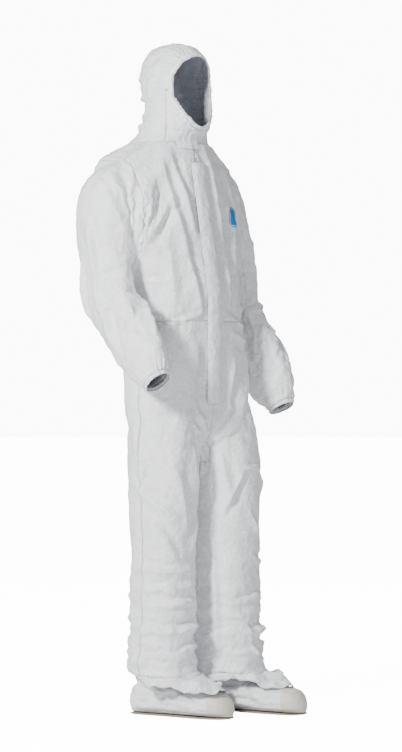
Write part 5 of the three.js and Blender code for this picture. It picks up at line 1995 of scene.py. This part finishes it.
FOLDS: tuple[Fold, ...] = (
    # creases that run together at the front of the right armpit
    Fold((-0.238, -0.015, 1.5), (-0.203, -0.05, 1.265), 0.0075, 0.012),
    Fold((-0.185, -0.045, 1.5), (-0.191, -0.046, 1.262), 0.0065, 0.009),
    Fold((-0.15, -0.085, 1.475), (-0.186, -0.055, 1.27), 0.007, 0.01),
    Fold((-0.098, -0.126, 1.425), (-0.182, -0.08, 1.28), 0.008, 0.014),
    Fold((-0.265, -0.03, 1.44), (-0.21, -0.06, 1.25), 0.006, 0.011),
    Fold((-0.29, -0.04, 1.262), (-0.205, -0.065, 1.252), 0.005, 0.007),
    # long folds that hang from the right shoulder
    Fold((-0.092, -0.098, 1.545), (-0.04, -0.16, 1.3), 0.0085, 0.011),
    Fold((-0.125, -0.095, 1.53), (-0.077, -0.165, 1.25), 0.007, 0.013),
    Fold((-0.082, -0.165, 1.28), (-0.046, -0.178, 1.085), 0.0065, 0.012),
    Fold((-0.135, -0.145, 1.3), (-0.12, -0.15, 1.11), 0.005, 0.014),
    # long folds that hang from the left shoulder
    Fold((0.045, -0.105, 1.54), (0.066, -0.158, 1.29), 0.0075, 0.01),
    Fold((0.08, -0.105, 1.52), (0.128, -0.135, 1.31), 0.0075, 0.011),
    Fold((0.115, -0.085, 1.51), (0.168, -0.095, 1.3), 0.007, 0.011),
    Fold((0.15, -0.07, 1.495), (0.185, -0.06, 1.27), 0.006, 0.01),
    Fold((0.124, -0.14, 1.32), (0.096, -0.16, 1.13), 0.0065, 0.013),
    Fold((0.07, -0.172, 1.27), (0.062, -0.178, 1.1), 0.005, 0.01),
    Fold((0.16, -0.11, 1.29), (0.14, -0.12, 1.11), 0.0065, 0.011),
    # creases across the waist
    Fold((-0.155, -0.125, 1.056), (-0.044, -0.178, 1.094), 0.006, 0.007),
    Fold((-0.168, -0.05, 1.135), (-0.13, -0.145, 1.072), 0.005, 0.007),
    Fold((-0.175, -0.06, 1.188), (-0.115, -0.15, 1.182), 0.003, 0.006),
    Fold((0.045, -0.178, 1.1), (0.135, -0.13, 1.055), 0.0055, 0.007),
    Fold((0.06, -0.175, 1.045), (0.15, -0.11, 1.01), 0.005, 0.008),
    Fold((0.1, -0.155, 1.125), (0.16, -0.07, 1.085), 0.0055, 0.007),
    Fold((0.085, -0.165, 1.08), (0.162, -0.08, 1.04), 0.005, 0.006),
    # the front below the waist
    Fold((-0.06, -0.18, 1.01), (-0.09, -0.172, 0.84), 0.005, 0.016),
    Fold((-0.13, -0.15, 0.99), (-0.15, -0.13, 0.82), 0.0045, 0.016),
    Fold((0.08, -0.172, 0.98), (0.05, -0.18, 0.83), 0.005, 0.012),
    Fold((0.14, -0.14, 0.96), (0.09, -0.17, 0.8), 0.005, 0.012),
    # the crotch's short pulls
    Fold((-0.07, -0.168, 0.85), (-0.012, -0.15, 0.772), 0.007, 0.008),
    Fold((-0.085, -0.165, 0.8), (-0.016, -0.14, 0.748), 0.006, 0.007),
    Fold((0.075, -0.172, 0.85), (0.014, -0.155, 0.775), 0.007, 0.008),
    Fold((0.095, -0.175, 0.79), (0.018, -0.15, 0.742), 0.006, 0.007),
    # the right sleeve's long creases and its elbow
    Fold((-0.302, 0.015, 1.36), (-0.296, -0.03, 1.13), 0.0095, 0.012),
    Fold((-0.294, -0.025, 1.15), (-0.275, -0.115, 0.985), 0.0095, 0.011),
    Fold((-0.27, -0.085, 1.18), (-0.25, -0.155, 0.975), 0.007, 0.012),
    Fold((-0.298, 0.055, 1.26), (-0.29, 0.035, 1.08), 0.007, 0.012),
    Fold((-0.245, -0.1, 1.24), (-0.3, -0.01, 1.2), 0.0055, 0.008),
    Fold((-0.23, -0.105, 1.13), (-0.295, -0.02, 1.105), 0.005, 0.008),
    # the left sleeve's long creases and its elbow
    Fold((0.255, -0.07, 1.35), (0.262, -0.085, 1.15), 0.008, 0.012),
    Fold((0.235, -0.1, 1.17), (0.27, -0.15, 0.93), 0.0075, 0.01),
    Fold((0.29, -0.05, 1.15), (0.305, -0.11, 0.93), 0.007, 0.011),
    Fold((0.212, -0.05, 1.12), (0.24, -0.11, 0.91), 0.0065, 0.01),
    Fold((0.215, -0.08, 1.12), (0.29, -0.06, 1.09), 0.006, 0.008),
    # the right leg
    Fold((-0.188, -0.06, 0.83), (-0.165, -0.1, 0.59), 0.008, 0.014),
    Fold((-0.192, -0.05, 0.65), (-0.12, -0.165, 0.53), 0.007, 0.01),
    Fold((-0.14, -0.15, 0.7), (-0.095, -0.172, 0.5), 0.007, 0.013),
    Fold((-0.08, -0.178, 0.74), (-0.05, -0.16, 0.56), 0.007, 0.014),
    Fold((-0.175, -0.1, 0.56), (-0.13, -0.155, 0.43), 0.006, 0.01),
    Fold((-0.045, -0.15, 0.56), (-0.08, -0.17, 0.43), 0.0065, 0.01),
    # bunching above the right boot
    Fold((-0.185, -0.05, 0.42), (-0.06, -0.16, 0.385), 0.007, 0.009),
    Fold((-0.19, -0.06, 0.34), (-0.05, -0.155, 0.365), 0.008, 0.01),
    Fold((-0.18, -0.1, 0.3), (-0.035, -0.135, 0.32), 0.008, 0.009),
    Fold((-0.19, -0.03, 0.255), (-0.06, -0.16, 0.225), 0.009, 0.011),
    Fold((-0.17, -0.125, 0.215), (-0.028, -0.12, 0.262), 0.009, 0.01),
    Fold((-0.188, -0.05, 0.17), (-0.08, -0.168, 0.155), 0.008, 0.009),
    Fold((-0.12, -0.165, 0.185), (-0.03, -0.11, 0.195), 0.0085, 0.009),
    # the left leg
    Fold((0.03, -0.165, 0.74), (0.05, -0.2, 0.56), 0.007, 0.012),
    Fold((0.06, -0.2, 0.675), (0.15, -0.18, 0.672), 0.0055, 0.006),
    Fold((0.085, -0.212, 0.672), (0.03, -0.18, 0.545), 0.007, 0.009),
    Fold((0.14, -0.195, 0.665), (0.18, -0.13, 0.56), 0.0065, 0.009),
    Fold((0.1, -0.21, 0.56), (0.15, -0.19, 0.48), 0.006, 0.009),
    Fold((0.032, -0.15, 0.5), (0.04, -0.16, 0.15), 0.0065, 0.008),
    Fold((0.11, -0.205, 0.43), (0.18, -0.14, 0.4), 0.006, 0.008),
    Fold((0.06, -0.195, 0.3), (0.17, -0.16, 0.33), 0.0065, 0.009),
    Fold((0.09, -0.205, 0.25), (0.12, -0.205, 0.14), 0.006, 0.009),
    # bunching above the left boot
    Fold((0.05, -0.19, 0.215), (0.19, -0.12, 0.23), 0.0085, 0.01),
    Fold((0.04, -0.17, 0.165), (0.15, -0.195, 0.155), 0.0085, 0.01),
    Fold((0.12, -0.2, 0.175), (0.195, -0.08, 0.18), 0.008, 0.009),
    # the hood's side and back
    Fold((-0.085, 0.02, 1.655), (-0.04, 0.085, 1.64), 0.006, 0.007),
    Fold((-0.09, 0.0, 1.7), (-0.03, 0.092, 1.69), 0.0055, 0.007),
    Fold((-0.088, 0.0, 1.625), (-0.05, 0.08, 1.605), 0.006, 0.007),
    Fold((-0.09, -0.02, 1.76), (-0.055, 0.07, 1.745), 0.005, 0.007),
    Fold((-0.06, -0.06, 1.81), (-0.084, 0.0, 1.7), 0.0045, 0.01),
    Fold((0.088, 0.0, 1.65), (0.04, 0.085, 1.635), 0.006, 0.007),
    Fold((0.09, 0.0, 1.705), (0.035, 0.09, 1.69), 0.0055, 0.007),
    # the back of the trunk
    Fold((-0.12, 0.11, 1.5), (-0.06, 0.11, 1.22), 0.008, 0.014),
    Fold((0.115, 0.11, 1.5), (0.07, 0.11, 1.24), 0.008, 0.014),
    Fold((-0.02, 0.12, 1.48), (-0.03, 0.1, 1.2), 0.006, 0.014),
    Fold((0.16, 0.095, 1.42), (0.12, 0.085, 1.18), 0.007, 0.012),
    Fold((-0.165, 0.095, 1.42), (-0.13, 0.085, 1.18), 0.007, 0.012),
    Fold((-0.1, 0.06, 1.01), (-0.11, 0.045, 0.84), 0.007, 0.016),
    Fold((0.1, 0.06, 1.01), (0.105, 0.045, 0.85), 0.007, 0.016),
    Fold((-0.03, 0.045, 0.9), (-0.11, 0.025, 0.78), 0.008, 0.012),
    Fold((0.03, 0.045, 0.9), (0.11, 0.02, 0.79), 0.008, 0.012),
    Fold((-0.12, 0.012, 0.7), (-0.09, 0.008, 0.42), 0.007, 0.014),
    Fold((0.11, -0.02, 0.7), (0.09, -0.025, 0.42), 0.007, 0.014),
    Fold((-0.17, -0.02, 0.33), (-0.05, 0.005, 0.3), 0.008, 0.01),
    Fold((0.06, -0.03, 0.3), (0.18, -0.06, 0.32), 0.008, 0.01),
)

class Held(Enum):
    """How a piece of cloth is held."""

    HUNG = "hung"
    GATHERED = "gathered"


def dress_panels(panels: dict[str, bpy.types.Object], finishes: Finishes) -> None:
    """Hide the part each panel stands for, and attach the panels that follow a body to it."""
    for name, panel in panels.items():
        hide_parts(name)
        if name.startswith("hood"):
            hood_blend(panel)
        elif name.endswith("sleeve"):
            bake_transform(panel)
        elif name.endswith("cuff_hem"):
            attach(panel, name.split("_")[0] + "_arm")
        else:
            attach(panel, SUIT)


def light(name: str, place: Sequence[float], target: Vector, size: float, power: float) -> bpy.types.Object:
    """Add a soft studio light that looks at a point."""
    lamp = bpy.data.lights.new(name, "AREA")
    lamp.size = size
    lamp.energy = power
    made = bpy.data.objects.new(name, lamp)
    made.location = place
    made.rotation_euler = (target - Vector(place)).to_track_quat("-Z", "Y").to_euler()
    bpy.context.scene.collection.objects.link(made)
    return made


LENS_MM = 78.8
CAMERA_PLACE = (-4.75, -4.86, 0.93)
AIM_HEIGHT = 0.925
BACKDROP_GLOW = 14.0
ROOM_GLOW = 0.31


def studio() -> None:
    """Set up the floor, the lights and the camera."""
    low, high = CAD_BOX
    middle = (low + high) / 2
    bpy.ops.mesh.primitive_circle_add(vertices=96, radius=30, fill_type="NGON", location=(0, 0, 0))
    floor = bpy.context.object
    floor.name = "studio_floor"
    paper, shader = new_material("backlit_white_backdrop_paper")
    shader.inputs["Base Color"].default_value = linear("F4F4F4")
    shader.inputs["Roughness"].default_value = 0.9
    path = add_node(paper, "ShaderNodeLightPath").outputs["Is Camera Ray"]
    glow = add_node(paper, "ShaderNodeMath", operation="MULTIPLY", I0=path, I1=BACKDROP_GLOW).outputs[0]
    shader.inputs["Emission Color"].default_value = (1.0, 1.0, 1.0, 1.0)
    link(paper, glow, shader.inputs["Emission Strength"])
    floor.data.materials.append(paper)
    world = bpy.data.worlds.new("studio")
    bpy.context.scene.world = world
    world.use_nodes = True
    nodes, links = world.node_tree.nodes, world.node_tree.links
    room = nodes["Background"]
    room.inputs["Color"].default_value = (0.93, 0.96, 1.0, 1.0)
    room.inputs["Strength"].default_value = ROOM_GLOW
    backdrop = nodes.new("ShaderNodeBackground")
    backdrop.inputs["Strength"].default_value = BACKDROP_GLOW
    path, mixed = nodes.new("ShaderNodeLightPath"), nodes.new("ShaderNodeMixShader")
    links.new(path.outputs["Is Camera Ray"], mixed.inputs[0])
    links.new(room.outputs[0], mixed.inputs[1])
    links.new(backdrop.outputs[0], mixed.inputs[2])
    links.new(mixed.outputs[0], nodes["World Output"].inputs["Surface"])
    light("key", (-3.9, -0.7, 2.7), middle, 0.7, 360)
    light("front_fill", (0.2, -4.4, 2.2), middle, 1.4, 48)
    light("back", (3.0, 2.4, 2.8), middle, 1.2, 60)
    camera = bpy.data.objects.new("camera", bpy.data.cameras.new("camera"))
    bpy.context.scene.collection.objects.link(camera)
    bpy.context.scene.camera = camera
    camera.data.sensor_fit = "VERTICAL"
    camera.data.sensor_height = 24
    camera.data.lens = LENS_MM
    camera.location = CAMERA_PLACE
    aim = Vector((middle.x, middle.y, AIM_HEIGHT))
    camera.rotation_euler = (aim - camera.location).to_track_quat("-Z", "Y").to_euler()


def main() -> None:
    """Build the dressed coverall."""
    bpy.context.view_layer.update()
    finishes = all_finishes()
    form, face = SuitForm(), FaceOpening()
    garment = Garment(form, face)
    garment.weave()
    garment.mark()
    drape(garment)
    tailor = Tailor(garment, FOLDS)
    tailor.finer()
    tailor.find_seams()
    tailor.shape()
    surface = Surface.of(garment.piece)
    rim = tailor.face_rim()
    dress_panels(tailor.split(finishes.cloth, finishes.inside), finishes)
    HoodParts(surface, rim, face, form, finishes).build()
    Closure(form, finishes).build()
    BodyParts(surface, form, finishes).build()
    for foot in (RIGHT_FOOT, LEFT_FOOT):
        Boot(foot, finishes).build()
    studio()


if __name__ == "__main__":
    main()
